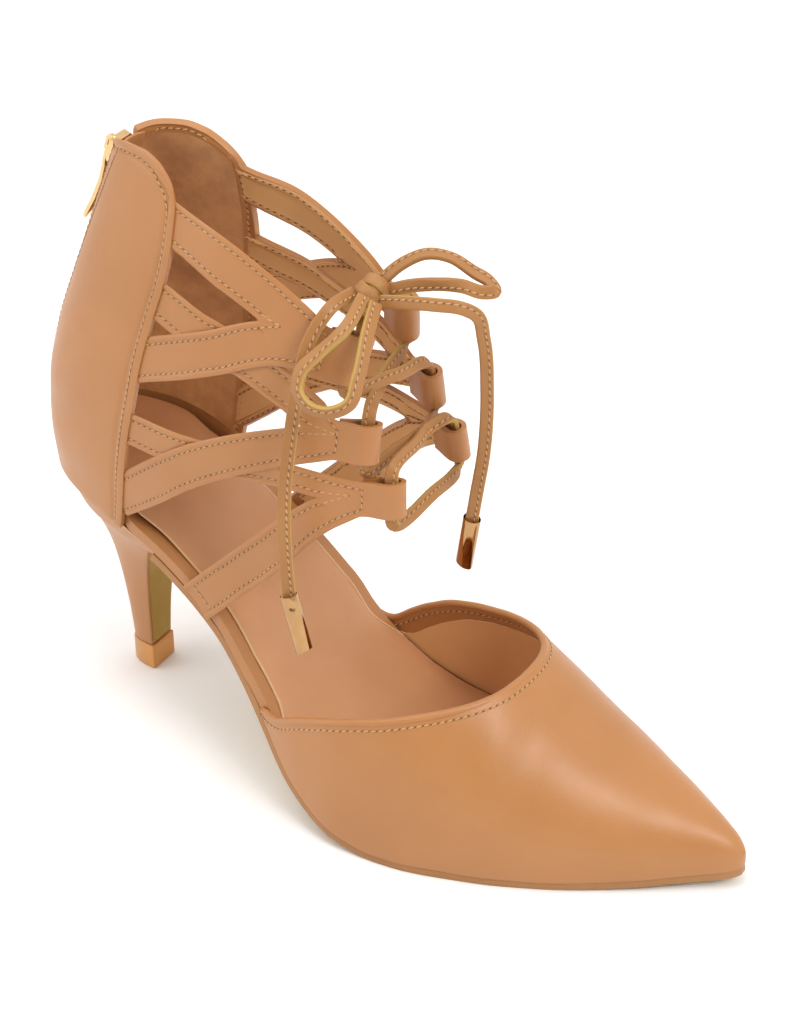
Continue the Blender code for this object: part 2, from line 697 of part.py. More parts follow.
# colour, roughness, metallic
TAN = ((0.56, 0.28, 0.13), 0.5, 0.0)
OLIVE = ((0.33, 0.17, 0.03), 0.8, 0.0)
AMBER = ((0.6, 0.2, 0.04), 0.3, 0.0)
GOLD = ((0.9, 0.6, 0.3), 0.2, 1.0)
CLOTH = ((0.3, 0.16, 0.08), 0.9, 0.0)

build_sole(TAN, OLIVE)
build_heel(TAN, AMBER)
build_vamp(TAN)
build_quarter(TAN)
build_zip_tape(CLOTH)
build_slider(GOLD)
build_pull(GOLD)
build_straps(TAN)
build_lace(TAN)
build_knot(TAN)
build_cords(TAN, GOLD)
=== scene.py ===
# %% [markdown]
# Laced pump with a zipped ankle quarter: the looks.
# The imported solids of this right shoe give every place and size. This lesson lays smooth leather, seams,
# linings, a flat lace and metal trim over them. Each step says what the real piece is and how it is made.
# Lengths in the tables are millimetres, as a shoemaker would note them, and MM turns them into metres.

# %% Load the frame
import json
import math
from bisect import bisect_left

import bpy
import numpy as np
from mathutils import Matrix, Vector
from mathutils.bvhtree import BVHTree

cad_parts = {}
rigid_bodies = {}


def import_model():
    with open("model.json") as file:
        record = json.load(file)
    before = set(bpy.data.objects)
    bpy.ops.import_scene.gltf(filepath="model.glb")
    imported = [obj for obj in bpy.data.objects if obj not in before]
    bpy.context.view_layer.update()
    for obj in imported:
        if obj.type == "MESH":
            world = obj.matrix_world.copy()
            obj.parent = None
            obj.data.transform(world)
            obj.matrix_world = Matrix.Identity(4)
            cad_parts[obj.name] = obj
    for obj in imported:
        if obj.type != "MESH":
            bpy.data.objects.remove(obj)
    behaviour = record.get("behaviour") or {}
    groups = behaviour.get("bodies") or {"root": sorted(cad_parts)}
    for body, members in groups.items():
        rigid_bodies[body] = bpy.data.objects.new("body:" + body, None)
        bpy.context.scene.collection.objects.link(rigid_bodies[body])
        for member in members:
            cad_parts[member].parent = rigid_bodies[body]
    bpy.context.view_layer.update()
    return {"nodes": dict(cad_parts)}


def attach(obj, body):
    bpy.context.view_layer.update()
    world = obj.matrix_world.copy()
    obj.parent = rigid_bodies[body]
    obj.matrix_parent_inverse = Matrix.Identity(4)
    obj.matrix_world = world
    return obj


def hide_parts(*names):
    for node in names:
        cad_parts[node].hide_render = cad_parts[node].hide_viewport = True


for start_up in list(bpy.data.objects):
    bpy.data.objects.remove(start_up)
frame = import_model()
MM = 0.001
LATERAL, MEDIAL = -1.0, 1.0
SIDES = {LATERAL: "lateral", MEDIAL: "medial"}
# column of each side in a table
COLUMN_OF = {LATERAL: 1, MEDIAL: 2}

# %% [markdown]
# The camera stands where the photographer stood: in front of the toe, on the outer side, looking down. It
# comes first, because everything after it is judged through it. The lens is a short telephoto one, and it
# is aimed at the middle of the shoe, so that the shoe fills the picture.

# %% Camera
CAMERA_AT = (0.26170, -0.47532, 0.46783)
CAMERA_TO = (-0.07018, 0.06456, 0.03798)
LENS, SENSOR, NEAREST = 85.9, 36, 0.01

sight = Vector(CAMERA_TO) - Vector(CAMERA_AT)
eye = bpy.data.cameras.new("camera")
eye.lens = LENS
eye.sensor_width = SENSOR
eye.clip_start = NEAREST
camera = bpy.data.objects.new("camera", eye)
bpy.context.scene.collection.objects.link(camera)
camera.location = CAMERA_AT
camera.rotation_euler = sight.to_track_quat("-Z", "Y").to_euler()
bpy.context.scene.camera = camera
print("camera", round(sight.length, 3), "m from what it looks at")

# %% [markdown]
# Light in a catalogue studio is soft and comes from all round. A pale floor, one large soft box overhead,
# two weaker ones from the front and the left, and a white room give pale shadows and long quiet highlights
# on the leather. One strong lamp could light the shoe too, but its hard shadows would hide the straps. The
# room is dimmer on the photographer's side, and polished metal shows that as its dark reflections.

# %% Studio
def soft_box(name, place, towards, size, power):
    light = bpy.data.lights.new(name, "AREA")
    light.shape = "RECTANGLE"
    light.size, light.size_y = size
    light.energy = power
    lamp = bpy.data.objects.new(name, light)
    bpy.context.scene.collection.objects.link(lamp)
    lamp.location = place
    lamp.rotation_euler = (Vector(towards) - Vector(place)).to_track_quat("-Z", "Y").to_euler()


SHOE_MIDDLE = (-0.03, 0.0, 0.06)
ROOM_WHITE = (1.0, 0.99, 0.98, 1)
ROOM_LIGHT, ROOM_DARK = 1.0, 0.2
# towards the photographer: where the room starts to dim, and where it is dark
DARK_FROM, DARK_FULL = 0.7, 0.97
soft_box("box_overhead", (-0.25, -0.15, 1.25), SHOE_MIDDLE, (1.0, 1.0), 6)
soft_box("box_front", (0.75, -0.22, 0.85), (0.03, -0.02, 0.035), (0.42, 0.42), 5.5)
soft_box("box_left", (-1.0, -0.7, 0.6), SHOE_MIDDLE, (0.6, 0.9), 3)
world = bpy.data.worlds.new("white_room")
world.use_nodes = True
room = world.node_tree
room.nodes["Background"].inputs["Color"].default_value = ROOM_WHITE
looking = room.nodes.new("ShaderNodeTexCoord")
towards_dark = room.nodes.new("ShaderNodeVectorMath")
towards_dark.operation = "DOT_PRODUCT"
towards_dark.inputs[1].default_value = (-sight).normalized()
dim = room.nodes.new("ShaderNodeMapRange")
dim.inputs["From Min"].default_value = DARK_FROM
dim.inputs["From Max"].default_value = DARK_FULL
dim.inputs["To Min"].default_value = ROOM_LIGHT
dim.inputs["To Max"].default_value = ROOM_DARK
room.links.new(looking.outputs["Generated"], towards_dark.inputs[0])
room.links.new(towards_dark.outputs["Value"], dim.inputs["Value"])
room.links.new(dim.outputs["Result"], room.nodes["Background"].inputs["Strength"])
bpy.context.scene.world = world
bpy.context.scene.view_settings.view_transform = "Standard"
print("studio: three soft boxes in a white room")

# %% [markdown]
# Every material here is made of nodes. A smooth leather has a cloudy tone, a fine grain that only shows in
# the gloss, and a satin finish that changes a little from place to place. The nodes read Object
# coordinates, so the grain stays on the piece when it moves. Values that don't vary sit on the shader's own
# sockets.

# %% Finishes: shared node helpers
NOISE_ENDS = (0.3, 0.7)


def blank_material(name):
    material = bpy.data.materials.new(name)
    material.use_nodes = True
    return material, material.node_tree.nodes, material.node_tree.links


def noise_on(nodes, links, scale, detail=3.0, roughness=0.5):
    """Noise that reads the piece's own place."""
    place = nodes.new("ShaderNodeTexCoord")
    noise = nodes.new("ShaderNodeTexNoise")
    noise.inputs["Scale"].default_value = scale
    noise.inputs["Detail"].default_value = detail
    noise.inputs["Roughness"].default_value = roughness
    links.new(place.outputs["Object"], noise.inputs["Vector"])
    return noise


def two_tones(nodes, links, value, low, high, low_at=0.35, high_at=0.65):
    """Colour ramp from one tone to another, driven by a value."""
    ramp = nodes.new("ShaderNodeValToRGB")
    ramp.color_ramp.elements[0].position = low_at
    ramp.color_ramp.elements[0].color = (*low, 1)
    ramp.color_ramp.elements[1].position = high_at
    ramp.color_ramp.elements[1].color = (*high, 1)
    links.new(value, ramp.inputs["Fac"])
    return ramp


def spread_of(nodes, links, value, low, high, ends=NOISE_ENDS):
    """Value that lies between its ends, as noise does, spread between low and high."""
    span = nodes.new("ShaderNodeMapRange")
    limits = {"From Min": ends[0], "From Max": ends[1], "To Min": low, "To Max": high}
    for socket, limit in limits.items():
        span.inputs[socket].default_value = limit
    links.new(value, span.inputs["Value"])
    return span


def dent(nodes, links, height, strength, depth):
    """Bump node fed by a height."""
    bump = nodes.new("ShaderNodeBump")
    bump.inputs["Strength"].default_value = strength
    bump.inputs["Distance"].default_value = depth
    links.new(height, bump.inputs["Height"])
    return bump


print("node helpers: blank_material, noise_on, two_tones, spread_of, dent")

# %% [markdown]
# The leathers differ in tone and gloss, not in kind: the upper is satin tan, the sock is paler, the lining
# is brown, and cut edges are pale and dry. A picture of leather could be wrapped on, but it would need a
# file and would stretch over the folds, so one recipe is mixed again and again with other numbers.

# %% Finishes: leathers of this shoe
CLOUD_SCALE, GLOSS_SCALE, PORE_SCALE, GRAIN_SCALE = 38, 90, 1500, 900
GRAIN_DEPTH, COAT_ROUGH, LEATHER_SHINE = 0.00012, 0.32, 0.42


def smooth_leather(name, colour, deep, rough=(0.36, 0.47), coat=0.12, grain=0.2):
    """Finished smooth leather: cloudy tone, fine pores, satin gloss."""
    material, nodes, links = blank_material(name)
    shader = nodes["Principled BSDF"]
    cloud = noise_on(nodes, links, CLOUD_SCALE, 4)
    tone = two_tones(nodes, links, cloud.outputs["Fac"], deep, colour)
    links.new(tone.outputs["Color"], shader.inputs["Base Color"])
    gloss = spread_of(nodes, links, noise_on(nodes, links, GLOSS_SCALE, 4).outputs["Fac"], *rough)
    links.new(gloss.outputs["Result"], shader.inputs["Roughness"])
    place = nodes.new("ShaderNodeTexCoord")
    pores = nodes.new("ShaderNodeTexVoronoi")
    pores.inputs["Scale"].default_value = PORE_SCALE
    links.new(place.outputs["Object"], pores.inputs["Vector"])
    fine = noise_on(nodes, links, GRAIN_SCALE, 5, 0.6)
    both = nodes.new("ShaderNodeMath")
    both.operation = "ADD"
    links.new(pores.outputs["Distance"], both.inputs[0])
    links.new(fine.outputs["Fac"], both.inputs[1])
    bump = dent(nodes, links, both.outputs["Value"], grain, GRAIN_DEPTH)
    links.new(bump.outputs["Normal"], shader.inputs["Normal"])
    shader.inputs["Coat Weight"].default_value = coat
    shader.inputs["Coat Roughness"].default_value = COAT_ROUGH
    shader.inputs["Specular IOR Level"].default_value = LEATHER_SHINE
    return material


UPPER_TAN = smooth_leather("upper_tan", (0.445, 0.192, 0.062), (0.415, 0.176, 0.055))
LACE_TAN = smooth_leather("lace_tan", (0.38, 0.172, 0.05), (0.34, 0.148, 0.04), (0.42, 0.55), 0.05, 0.3)
SOCK_TAN = smooth_leather("sock_tan", (0.58, 0.285, 0.132), (0.53, 0.255, 0.112), (0.38, 0.5), 0.08, 0.15)
LINING_BROWN = smooth_leather("lining_brown", (0.80, 0.47, 0.22), (0.71, 0.40, 0.175), (0.4, 0.55), 0.06)
STRAP_BEIGE = smooth_leather("strap_beige", (0.72, 0.41, 0.175), (0.66, 0.37, 0.155), (0.5, 0.65), 0.0)
THREAD_TAN = smooth_leather("thread_tan", (0.55, 0.31, 0.14), (0.49, 0.265, 0.11), (0.5, 0.62), 0.0, 0.5)
CUT_EDGE = smooth_leather("cut_edge", (0.68, 0.42, 0.22), (0.60, 0.35, 0.17), (0.5, 0.65), 0.0, 0.3)
# painted shade: this dark colour is for the line under the stitches, and it stands for the shadow in the
# needle holes and between the stitches
HOLE_SHADE_BROWN = smooth_leather("hole_shade_brown", (0.22, 0.095, 0.033), (0.17, 0.07, 0.024), (0.6, 0.75), 0.0)
print("leathers:", [m.name for m in bpy.data.materials if m.name.endswith(("tan", "brown", "beige", "edge"))])

# %% [markdown]
# The lace is one folded strip, and its raw mustard flesh side shows as a stripe along one face. The stripe
# could be a second thin piece, but a colour that follows the lace's own map lies in the surface, as it
# should. The map named strip holds the share of the way round the profile, and a ramp picks the stripe from
# it.

# %% Finishes: raw side of the lace
RAW_MUSTARD = (0.46, 0.29, 0.07, 1)
# share round the profile, how raw
RAW_STRIPE = ((0.37, 0.0), (0.41, 1.0), (0.53, 1.0), (0.57, 0.0))

raw, raw_links = LACE_TAN.node_tree.nodes, LACE_TAN.node_tree.links
strip_map = raw.new("ShaderNodeUVMap")
strip_map.uv_map = "strip"
strip_split = raw.new("ShaderNodeSeparateXYZ")
raw_links.new(strip_map.outputs["UV"], strip_split.inputs["Vector"])
raw_side = raw.new("ShaderNodeValToRGB")
for place, shade in RAW_STRIPE:
    stop = raw_side.color_ramp.elements.new(place)
    stop.color = (shade, shade, shade, 1)
raw_side.color_ramp.elements[-1].color = (0, 0, 0, 1)
raw_links.new(strip_split.outputs["Y"], raw_side.inputs["Fac"])
raw_mix = raw.new("ShaderNodeMix")
raw_mix.data_type = "RGBA"
lace_colour = raw["Principled BSDF"].inputs["Base Color"].links[0].from_socket
raw_links.new(raw_side.outputs["Color"], raw_mix.inputs["Factor"])
raw_links.new(lace_colour, raw_mix.inputs["A"])
raw_mix.inputs["B"].default_value = RAW_MUSTARD
raw_links.new(raw_mix.outputs["Result"], raw["Principled BSDF"].inputs["Base Color"])
print("lace:", len(raw), "nodes, its raw stripe among them")

# %% [markdown]
# The quarter's lining is brushed microfibre with light and dark patches of nap and no gloss, so it gets sheen
# instead. The metal is polished plating. A plain metal shader would look new and flat, so a cloudy noise rubs
# its tone and its gloss a little. The aglets' gold is darker than the zip's: partly its own tone, partly
# painted shade for the darker surroundings it reflects.

# %% Finishes: lining and metal
PATCH_SCALE, NAP_SCALE, NAP_DEPTH = 75, 2200, 0.0003
SMEAR_SCALE, RUB_SCALE, RUB_DEPTH, RUBBED_TONE = 260, 700, 0.0001, 0.88


def napped_lining(name, light, dark):
    """Brushed microfibre: soft patches of lighter and darker nap, no gloss."""
    material, nodes, links = blank_material(name)
    shader = nodes["Principled BSDF"]
    patches = noise_on(nodes, links, PATCH_SCALE, 6, 0.62)
    tone = two_tones(nodes, links, patches.outputs["Fac"], dark, light, 0.36, 0.62)
    links.new(tone.outputs["Color"], shader.inputs["Base Color"])
    nap = noise_on(nodes, links, NAP_SCALE, 4, 0.7)
    bump = dent(nodes, links, nap.outputs["Fac"], 0.6, NAP_DEPTH)
    links.new(bump.outputs["Normal"], shader.inputs["Normal"])
    shader.inputs["Roughness"].default_value = 0.92
    shader.inputs["Sheen Weight"].default_value = 0.35
    shader.inputs["Sheen Roughness"].default_value = 0.5
    return material


def rubbed_metal(name, colour, rough=(0.09, 0.2)):
    """Polished plating: bright, with faint cloudy rubbing marks."""
    material, nodes, links = blank_material(name)
    shader = nodes["Principled BSDF"]
    shader.inputs["Metallic"].default_value = 1.0
    smear = noise_on(nodes, links, SMEAR_SCALE, 5, 0.6)
    tone = two_tones(nodes, links, smear.outputs["Fac"], [RUBBED_TONE * c for c in colour], colour)
    links.new(tone.outputs["Color"], shader.inputs["Base Color"])
    gloss = spread_of(nodes, links, smear.outputs["Fac"], *rough)
    links.new(gloss.outputs["Result"], shader.inputs["Roughness"])
    bump = dent(nodes, links, noise_on(nodes, links, RUB_SCALE, 2).outputs["Fac"], 0.06, RUB_DEPTH)
    links.new(bump.outputs["Normal"], shader.inputs["Normal"])
    return material


NAP_BROWN = napped_lining("nap_brown", (0.65, 0.325, 0.112), (0.45, 0.20, 0.062))
# the aglets' gold is kept dark: partly its own rose tone, partly painted shade that stands for the darker
# surroundings it reflects
SHADED_ROSE_GOLD = rubbed_metal("rose_gold_painted_shade", (0.50, 0.29, 0.13), (0.05, 0.13))
ZIP_GOLD = rubbed_metal("zip_gold", (0.84, 0.55, 0.27))
print("lining and metal:", NAP_BROWN.name, SHADED_ROSE_GOLD.name, ZIP_GOLD.name)

# %% [markdown]
# The heel's tip is amber plastic. Its tone runs from tan at its back to a stronger orange towards its breast:
# partly the amber's own tone, partly painted light that stands for light scattered through the plastic. Glass
# or light scattered under the surface could make amber too, but both are grainy on so small a piece, so its
# own place gives the tone. The sole is matt mustard leather with a tan edge. The zip's tape is woven: a wave
# texture stands for its threads.

# %% Finishes: sole, heel tip and zip tape
AMBER_BACK, AMBER_BREAST = -0.1276, -0.1174
AMBER_CLOUD, AMBER_SCALE, SHINE_SCALE = 0.15, 160, 120
WEAVE_SCALE, WEAVE_UNEVEN, WEAVE_DEPTH = 420, 1.5, 0.0002


def cast_amber(name, back, breast):
    """Amber plastic of a heel tip: tan at the back, more orange towards the breast as painted light scattered
    through it, a little cloudy.
    """
    material, nodes, links = blank_material(name)
    shader = nodes["Principled BSDF"]
    place = nodes.new("ShaderNodeTexCoord")
    split = nodes.new("ShaderNodeSeparateXYZ")
    links.new(place.outputs["Object"], split.inputs["Vector"])
    # painted light: the stronger orange towards the breast stands for light scattered through the amber
    share = spread_of(nodes, links, split.outputs["X"], 0.0, 1.0, (AMBER_BACK, AMBER_BREAST))
    clouded = nodes.new("ShaderNodeMath")
    clouded.operation = "MULTIPLY_ADD"
    clouded.inputs[1].default_value = AMBER_CLOUD
    links.new(noise_on(nodes, links, AMBER_SCALE, 1).outputs["Fac"], clouded.inputs[0])
    links.new(share.outputs["Result"], clouded.inputs[2])
    tone = two_tones(nodes, links, clouded.outputs["Value"], back, breast, 0.15, 1.0)
    links.new(tone.outputs["Color"], shader.inputs["Base Color"])
    gloss = spread_of(nodes, links, noise_on(nodes, links, SHINE_SCALE, 2).outputs["Fac"], 0.36, 0.42)
    links.new(gloss.outputs["Result"], shader.inputs["Roughness"])
    return material


def woven_tape(name, light, dark):
    """Zip tape: a fine plain weave."""
    material, nodes, links = blank_material(name)
    shader = nodes["Principled BSDF"]
    place = nodes.new("ShaderNodeTexCoord")
    threads = nodes.new("ShaderNodeTexWave")
    threads.bands_direction = "Z"
    threads.inputs["Scale"].default_value = WEAVE_SCALE
    threads.inputs["Distortion"].default_value = WEAVE_UNEVEN
    links.new(place.outputs["Object"], threads.inputs["Vector"])
    tone = two_tones(nodes, links, threads.outputs["Fac"], dark, light, 0.1, 0.9)
    links.new(tone.outputs["Color"], shader.inputs["Base Color"])
    bump = dent(nodes, links, threads.outputs["Fac"], 0.5, WEAVE_DEPTH)
    links.new(bump.outputs["Normal"], shader.inputs["Normal"])
    shader.inputs["Roughness"].default_value = 0.85
    return material


SOLE_MUSTARD = smooth_leather(
    "sole_mustard", (0.42, 0.25, 0.03), (0.37, 0.215, 0.022), (0.55, 0.7), 0.0, 0.35,
)
SOLE_EDGE = smooth_leather("sole_edge", (0.40, 0.182, 0.06), (0.36, 0.16, 0.05), (0.45, 0.6), 0.05, 0.3)
TIP_AMBER = cast_amber("tip_amber", (0.52, 0.26, 0.11), (0.66, 0.29, 0.07))
ZIP_CLOTH = woven_tape("zip_cloth", (0.45, 0.23, 0.10), (0.30, 0.145, 0.06))
ZIP_TEETH = smooth_leather("zip_teeth", (0.50, 0.27, 0.12), (0.44, 0.23, 0.10), (0.3, 0.4), 0.0, 0.05)
print("materials:", len(bpy.data.materials))

# %% [markdown]
# The floor is a plain white board. A curved backdrop would do as well, but the camera looks down and never
# sees where a board ends. It is only stage, and no body carries it.

# %% Floor
bpy.ops.mesh.primitive_plane_add(size=6, location=(0, 0, 0))
floor = bpy.context.object
floor.name = "floor"
board, board_nodes, board_links = blank_material("white_board")
board_cloud = noise_on(board_nodes, board_links, 3).outputs["Fac"]
board_tone = two_tones(board_nodes, board_links, board_cloud, (0.93, 0.928, 0.925), (0.95, 0.948, 0.945))
board_links.new(board_tone.outputs["Color"], board_nodes["Principled BSDF"].inputs["Base Color"])
board_nodes["Principled BSDF"].inputs["Roughness"].default_value = 0.7
floor.data.materials.append(board)
print("floor", tuple(round(v, 2) for v in floor.dimensions))

# %% [markdown]
# A shoe is built round a last, and here the last is a few short tables: a row for each section, with named
# columns. A form could be sculpted instead, but a table can be read, checked and corrected. A smooth curve
# through the rows gives any place in between.

# %% The last: smooth curves through short tables
KNOTS = {}


def knots_of(rows, column):
    """Places, values and slopes of a table's column. The slopes never let the curve overshoot a row."""
    table = np.array(rows, float)
    places, values = table[:, 0], table[:, column]
    rises = np.diff(values) / np.diff(places)
    slopes = np.empty_like(values)
    slopes[0], slopes[-1] = rises[0], rises[-1]
    product = rises[:-1] * rises[1:]
    total = rises[:-1] + rises[1:]
    slopes[1:-1] = np.where(product > 0, 2 * product / np.where(total == 0, 1, total), 0)
    return places.tolist(), values.tolist(), slopes.tolist()


def curve(rows, column, at):
    """A table's column at one place, on a smooth curve through the rows."""
    key = (id(rows), column)
    if key not in KNOTS:
        KNOTS[key] = knots_of(rows, column)
    places, values, slopes = KNOTS[key]
    i = min(max(bisect_left(places, at) - 1, 0), len(places) - 2)
    step = places[i + 1] - places[i]
    t = min(max((at - places[i]) / step, 0.0), 1.0)
    near = values[i] * (2 * t**3 - 3 * t**2 + 1) + values[i + 1] * (3 * t**2 - 2 * t**3)
    return near + step * (slopes[i] * (t**3 - 2 * t**2 + t) + slopes[i + 1] * (t**3 - t**2))


def far_along(points):
    """How far along a line each of its points lies."""
    return np.concatenate([[0], np.cumsum(np.linalg.norm(np.diff(points, axis=0), axis=1))])


def unit(directions):
    """Directions, or a single one, with a length of one."""
    return directions / np.linalg.norm(directions, axis=-1, keepdims=True)


def path(rows, count):
    """Points spread evenly along a smooth line through the rows, every column carried along."""
    rows = np.array(rows, float)
    lengths = far_along(rows[:, :3])
    slopes = np.gradient(rows, lengths, axis=0)
    at = np.linspace(0, lengths[-1], count)
    i = np.clip(np.searchsorted(lengths, at) - 1, 0, len(rows) - 2)
    step = np.diff(lengths)[i][:, None]
    t = (at[:, None] - lengths[i][:, None]) / step
    near = rows[i] * (2 * t**3 - 3 * t**2 + 1) + rows[i + 1] * (3 * t**2 - 2 * t**3)
    return near + step * (slopes[i] * (t**3 - 2 * t**2 + t) + slopes[i + 1] * (t**3 - t**2))


print("helpers: curve, far_along, unit, path")

# %% [markdown]
# The sole's tables come first: how the tread climbs from the ball to the heel, and the outline seen from
# above. They are close to the ones the solids were cut from. Every layer of the bottom is drawn from them,
# so the layers follow each other. The feather line is where the upper meets the sole.

# %% The last: sole
GAP = 0.3
SOLE_THICK = 2.6
SOLE_INSET = 0.5
BOARD_THICK = 3.4
BOARD_BACK, BOARD_FRONT = -141.6, 72.0
# x, tread height: underside of the outsole, flat under the ball
TREAD = [
    (-146, 74.0), (-130, 71.4), (-115, 67.4), (-104, 62.6), (-93, 56.6), (-78, 46.0), (-63, 31.5),
    (-55, 22.6), (-45, 13.5), (-35, 6.8), (-24, 2.3), (-12, 0.0), (30, 0.0), (48, 0.6), (65, 1.9), (81, 3.8),
]
# x, lateral edge, medial edge: plan outline at the feather line
OUTLINE = [
    (-145.6, 0.0, 0.0), (-142.4, -11.6, 11.6), (-132, -20.4, 20.4), (-116, -24.8, 24.8),
    (-95, -26.2, 25.6), (-75, -28.4, 25.2), (-58, -33.8, 26.5), (-40, -42.2, 29.5), (-24, -45.8, 32.2),
    (-8, -44.8, 34.0), (15, -38.5, 33.2), (35, -29.6, 29.2), (55, -17.8, 20.6), (70, -7.5, 12.5),
    (74, -4.9, 9.9),
]
# x, inset: insole board, inside the quarter, bare along the waist, then inside the vamp
BOARD_INSET = [
    (-146, 2.8), (-113, 2.8), (-105, 0.9), (-64, 0.8), (-50, 2.4), (0, 2.6), (60, 3.2), (81, 3.6),
]
TOE_X, NOSE_FROM, NOSE_SIDE = 80.7, 74.0, 2.5


def tread(x):
    return curve(TREAD, 1, x)


def above_tread(x, depth):
    """Height of a layer that lies depth above the tread, square to it."""
    slope = tread(x + 0.5) - tread(x - 0.5)
    return tread(x) + depth * math.sqrt(1 + slope**2)


def feather(x):
    """Height of the feather line, where the upper meets the sole."""
    return above_tread(x, SOLE_THICK)


def edge(x, side):
    """Plan outline on one side, round at the nose."""
    if x <= NOSE_FROM:
        return curve(OUTLINE, COLUMN_OF[side], x)
    share = min(max((TOE_X - x) / (TOE_X - NOSE_FROM), 0.0), 1.0)
    return NOSE_SIDE + (curve(OUTLINE, COLUMN_OF[side], NOSE_FROM) - NOSE_SIDE) * math.sqrt(share)


print("sole: ball", round(float(edge(-20, MEDIAL) - edge(-20, LATERAL)), 1), "mm wide")

# %% [markdown]
# One helper starts most pieces: a grid primitive whose corners are moved onto a form, as a pattern piece is
# pulled over a last. Extruding and scaling by hand could come near such a form, but a grid that reads the
# tables meets it everywhere. More helpers weld halves together and turn a sheet's faces outwards.

# %% Helpers: grids laid on a form
def only(piece):
    """Select one piece and make it active."""
    bpy.ops.object.select_all(action="DESELECT")
    piece.select_set(True)
    bpy.context.view_layer.objects.active = piece


def edit(piece):
    """Edit mode with the whole of one piece selected."""
    only(piece)
    bpy.ops.object.mode_set(mode="EDIT")
    bpy.ops.mesh.select_all(action="SELECT")


def leave_edit():
    bpy.ops.object.mode_set(mode="OBJECT")


def lay_grid(name, columns, rows, place):
    """Grid primitive with each corner moved to place(u, v), both from 0 to 1."""
    bpy.ops.mesh.primitive_grid_add(x_subdivisions=columns, y_subdivisions=rows, size=1)
    piece = bpy.context.object
    piece.name = name
    for corner in piece.data.vertices:
        corner.co = Vector(place(corner.co.x + 0.5, corner.co.y + 0.5)) * MM
    return piece


def merge(pieces, near=0.05):
    """Join pieces and weld the corners that lie on each other."""
    only(pieces[0])
    for piece in pieces[1:]:
        piece.select_set(True)
    if len(pieces) > 1:
        bpy.ops.object.join()
    edit(pieces[0])
    bpy.ops.mesh.remove_doubles(threshold=near * MM)
    bpy.ops.mesh.normals_make_consistent(inside=False)
    leave_edit()
    return pieces[0]


def flip(piece):
    """Turn every face of a piece over."""
    edit(piece)
    bpy.ops.mesh.flip_normals()
    leave_edit()


def face_away(piece, heart):
    """Turn the faces of an open sheet away from heart, a point on its hollow side."""
    heart = Vector(heart) * MM
    outward = sum((f.center - heart).normalized().dot(f.normal) * f.area for f in piece.data.polygons)
    if outward < 0:
        flip(piece)


print("helpers: only, edit, leave_edit, lay_grid, merge, flip, face_away")

# %% [markdown]
# A sheet of leather gets its thickness from Solidify and its soft rims from Bevel. Both are applied at once,
# so that the mesh holds what is seen. Every finished piece is then dressed: it gets its material, its shading
# and the body that carries it.

# %% Helpers: modifiers and finishing
def apply(piece, kind, **settings):
    """Add a modifier and apply it."""
    step = piece.modifiers.new(kind.title(), kind)
    for key, value in settings.items():
        setattr(step, key, value)
    only(piece)
    bpy.ops.object.modifier_apply(modifier=step.name)


def pick_faces(piece, wanted):
    """Edit mode with only those faces selected whose middle, in millimetres, and normal pass a test."""
    only(piece)
    bpy.ops.object.mode_set(mode="EDIT")
    bpy.ops.mesh.select_mode(type="FACE")
    bpy.ops.mesh.select_all(action="DESELECT")
    leave_edit()
    for face in piece.data.polygons:
        face.select = bool(wanted(np.array(face.center) / MM, np.array(face.normal)))
    bpy.ops.object.mode_set(mode="EDIT")


def round_edges(piece, width, sharper_than, segments=3):
    """Bevel the edges that turn by more than an angle in degrees."""
    apply(
        piece, "BEVEL", width=width * MM, segments=segments, limit_method="ANGLE",
        angle_limit=math.radians(sharper_than), use_clamp_overlap=True,
    )


def thicken(piece, wall, rim=0.5, segments=3):
    """Sheet to solid: the wall grows inwards, and its rims are rounded."""
    apply(piece, "SOLIDIFY", thickness=wall * MM, offset=-1, use_even_offset=True)
    round_edges(piece, rim, 55, segments)


def dress(piece, material, slot, *nodes, body="shoe", angle=42):
    """Give a finished piece its material, smooth shading and body, and hide the solids it stands for; slot is
    not used.
    """
    piece.data.materials.clear()
    piece.data.materials.append(material)
    only(piece)
    bpy.ops.object.shade_smooth_by_angle(angle=math.radians(angle))
    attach(piece, body)
    if nodes:
        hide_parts(*nodes)
    print(piece.name, len(piece.data.polygons), "faces", [round(1000 * v, 1) for v in piece.dimensions], "mm")
    return piece


print("helpers: apply, pick_faces, thicken, round_edges, dress")

# %% [markdown]
# The outsole is one thin leather layer from toe to heel breast. Its edge is painted tan like the upper, and
# its underside is matt mustard. It could be cut out of a plane. Here a grid is drawn to the outline and the
# tread curve, then thickened, so that the arch is smooth. The tread is a second, thinner sheet below it.

# %% Outsole
HEEL_SEAT_FRONT, HEEL_SEAT_BACK = -96.5, -145.0
SOLE_LAP = 2.6


def sole_sheet(name, back, front, inset_of, height_of, columns=90, rows=14):
    """Layer that follows the sole: inset_of(x) from the outline, at height_of(x)."""

    def place(u, v):
        x = back + (front - back) * math.sin(u * math.pi / 2)
        low, high = edge(x, LATERAL) + inset_of(x), edge(x, MEDIAL) - inset_of(x)
        return (x, low + (high - low) * v, height_of(x))

    piece = lay_grid(name, columns, rows, place)
    face_away(piece, (-30, 0, -400))
    return piece


TREAD_THICK, TREAD_INSET = 0.3, 0.9

sole_back = HEEL_SEAT_FRONT - SOLE_LAP
outsole = sole_sheet("outsole_leather", sole_back, TOE_X - GAP, lambda x: SOLE_INSET, feather)
thicken(outsole, SOLE_THICK - TREAD_THICK / 2, 0.55)
dress(outsole, SOLE_EDGE, "leather_sole", "outsole")
underside = sole_sheet(
    "outsole_tread", sole_back + GAP, TOE_X - 2 * TREAD_INSET,
    lambda x: SOLE_INSET + TREAD_INSET, lambda x: above_tread(x, TREAD_THICK),
)
thicken(underside, TREAD_THICK, 0.1, 2)
dress(underside, SOLE_MUSTARD, "leather_sole")

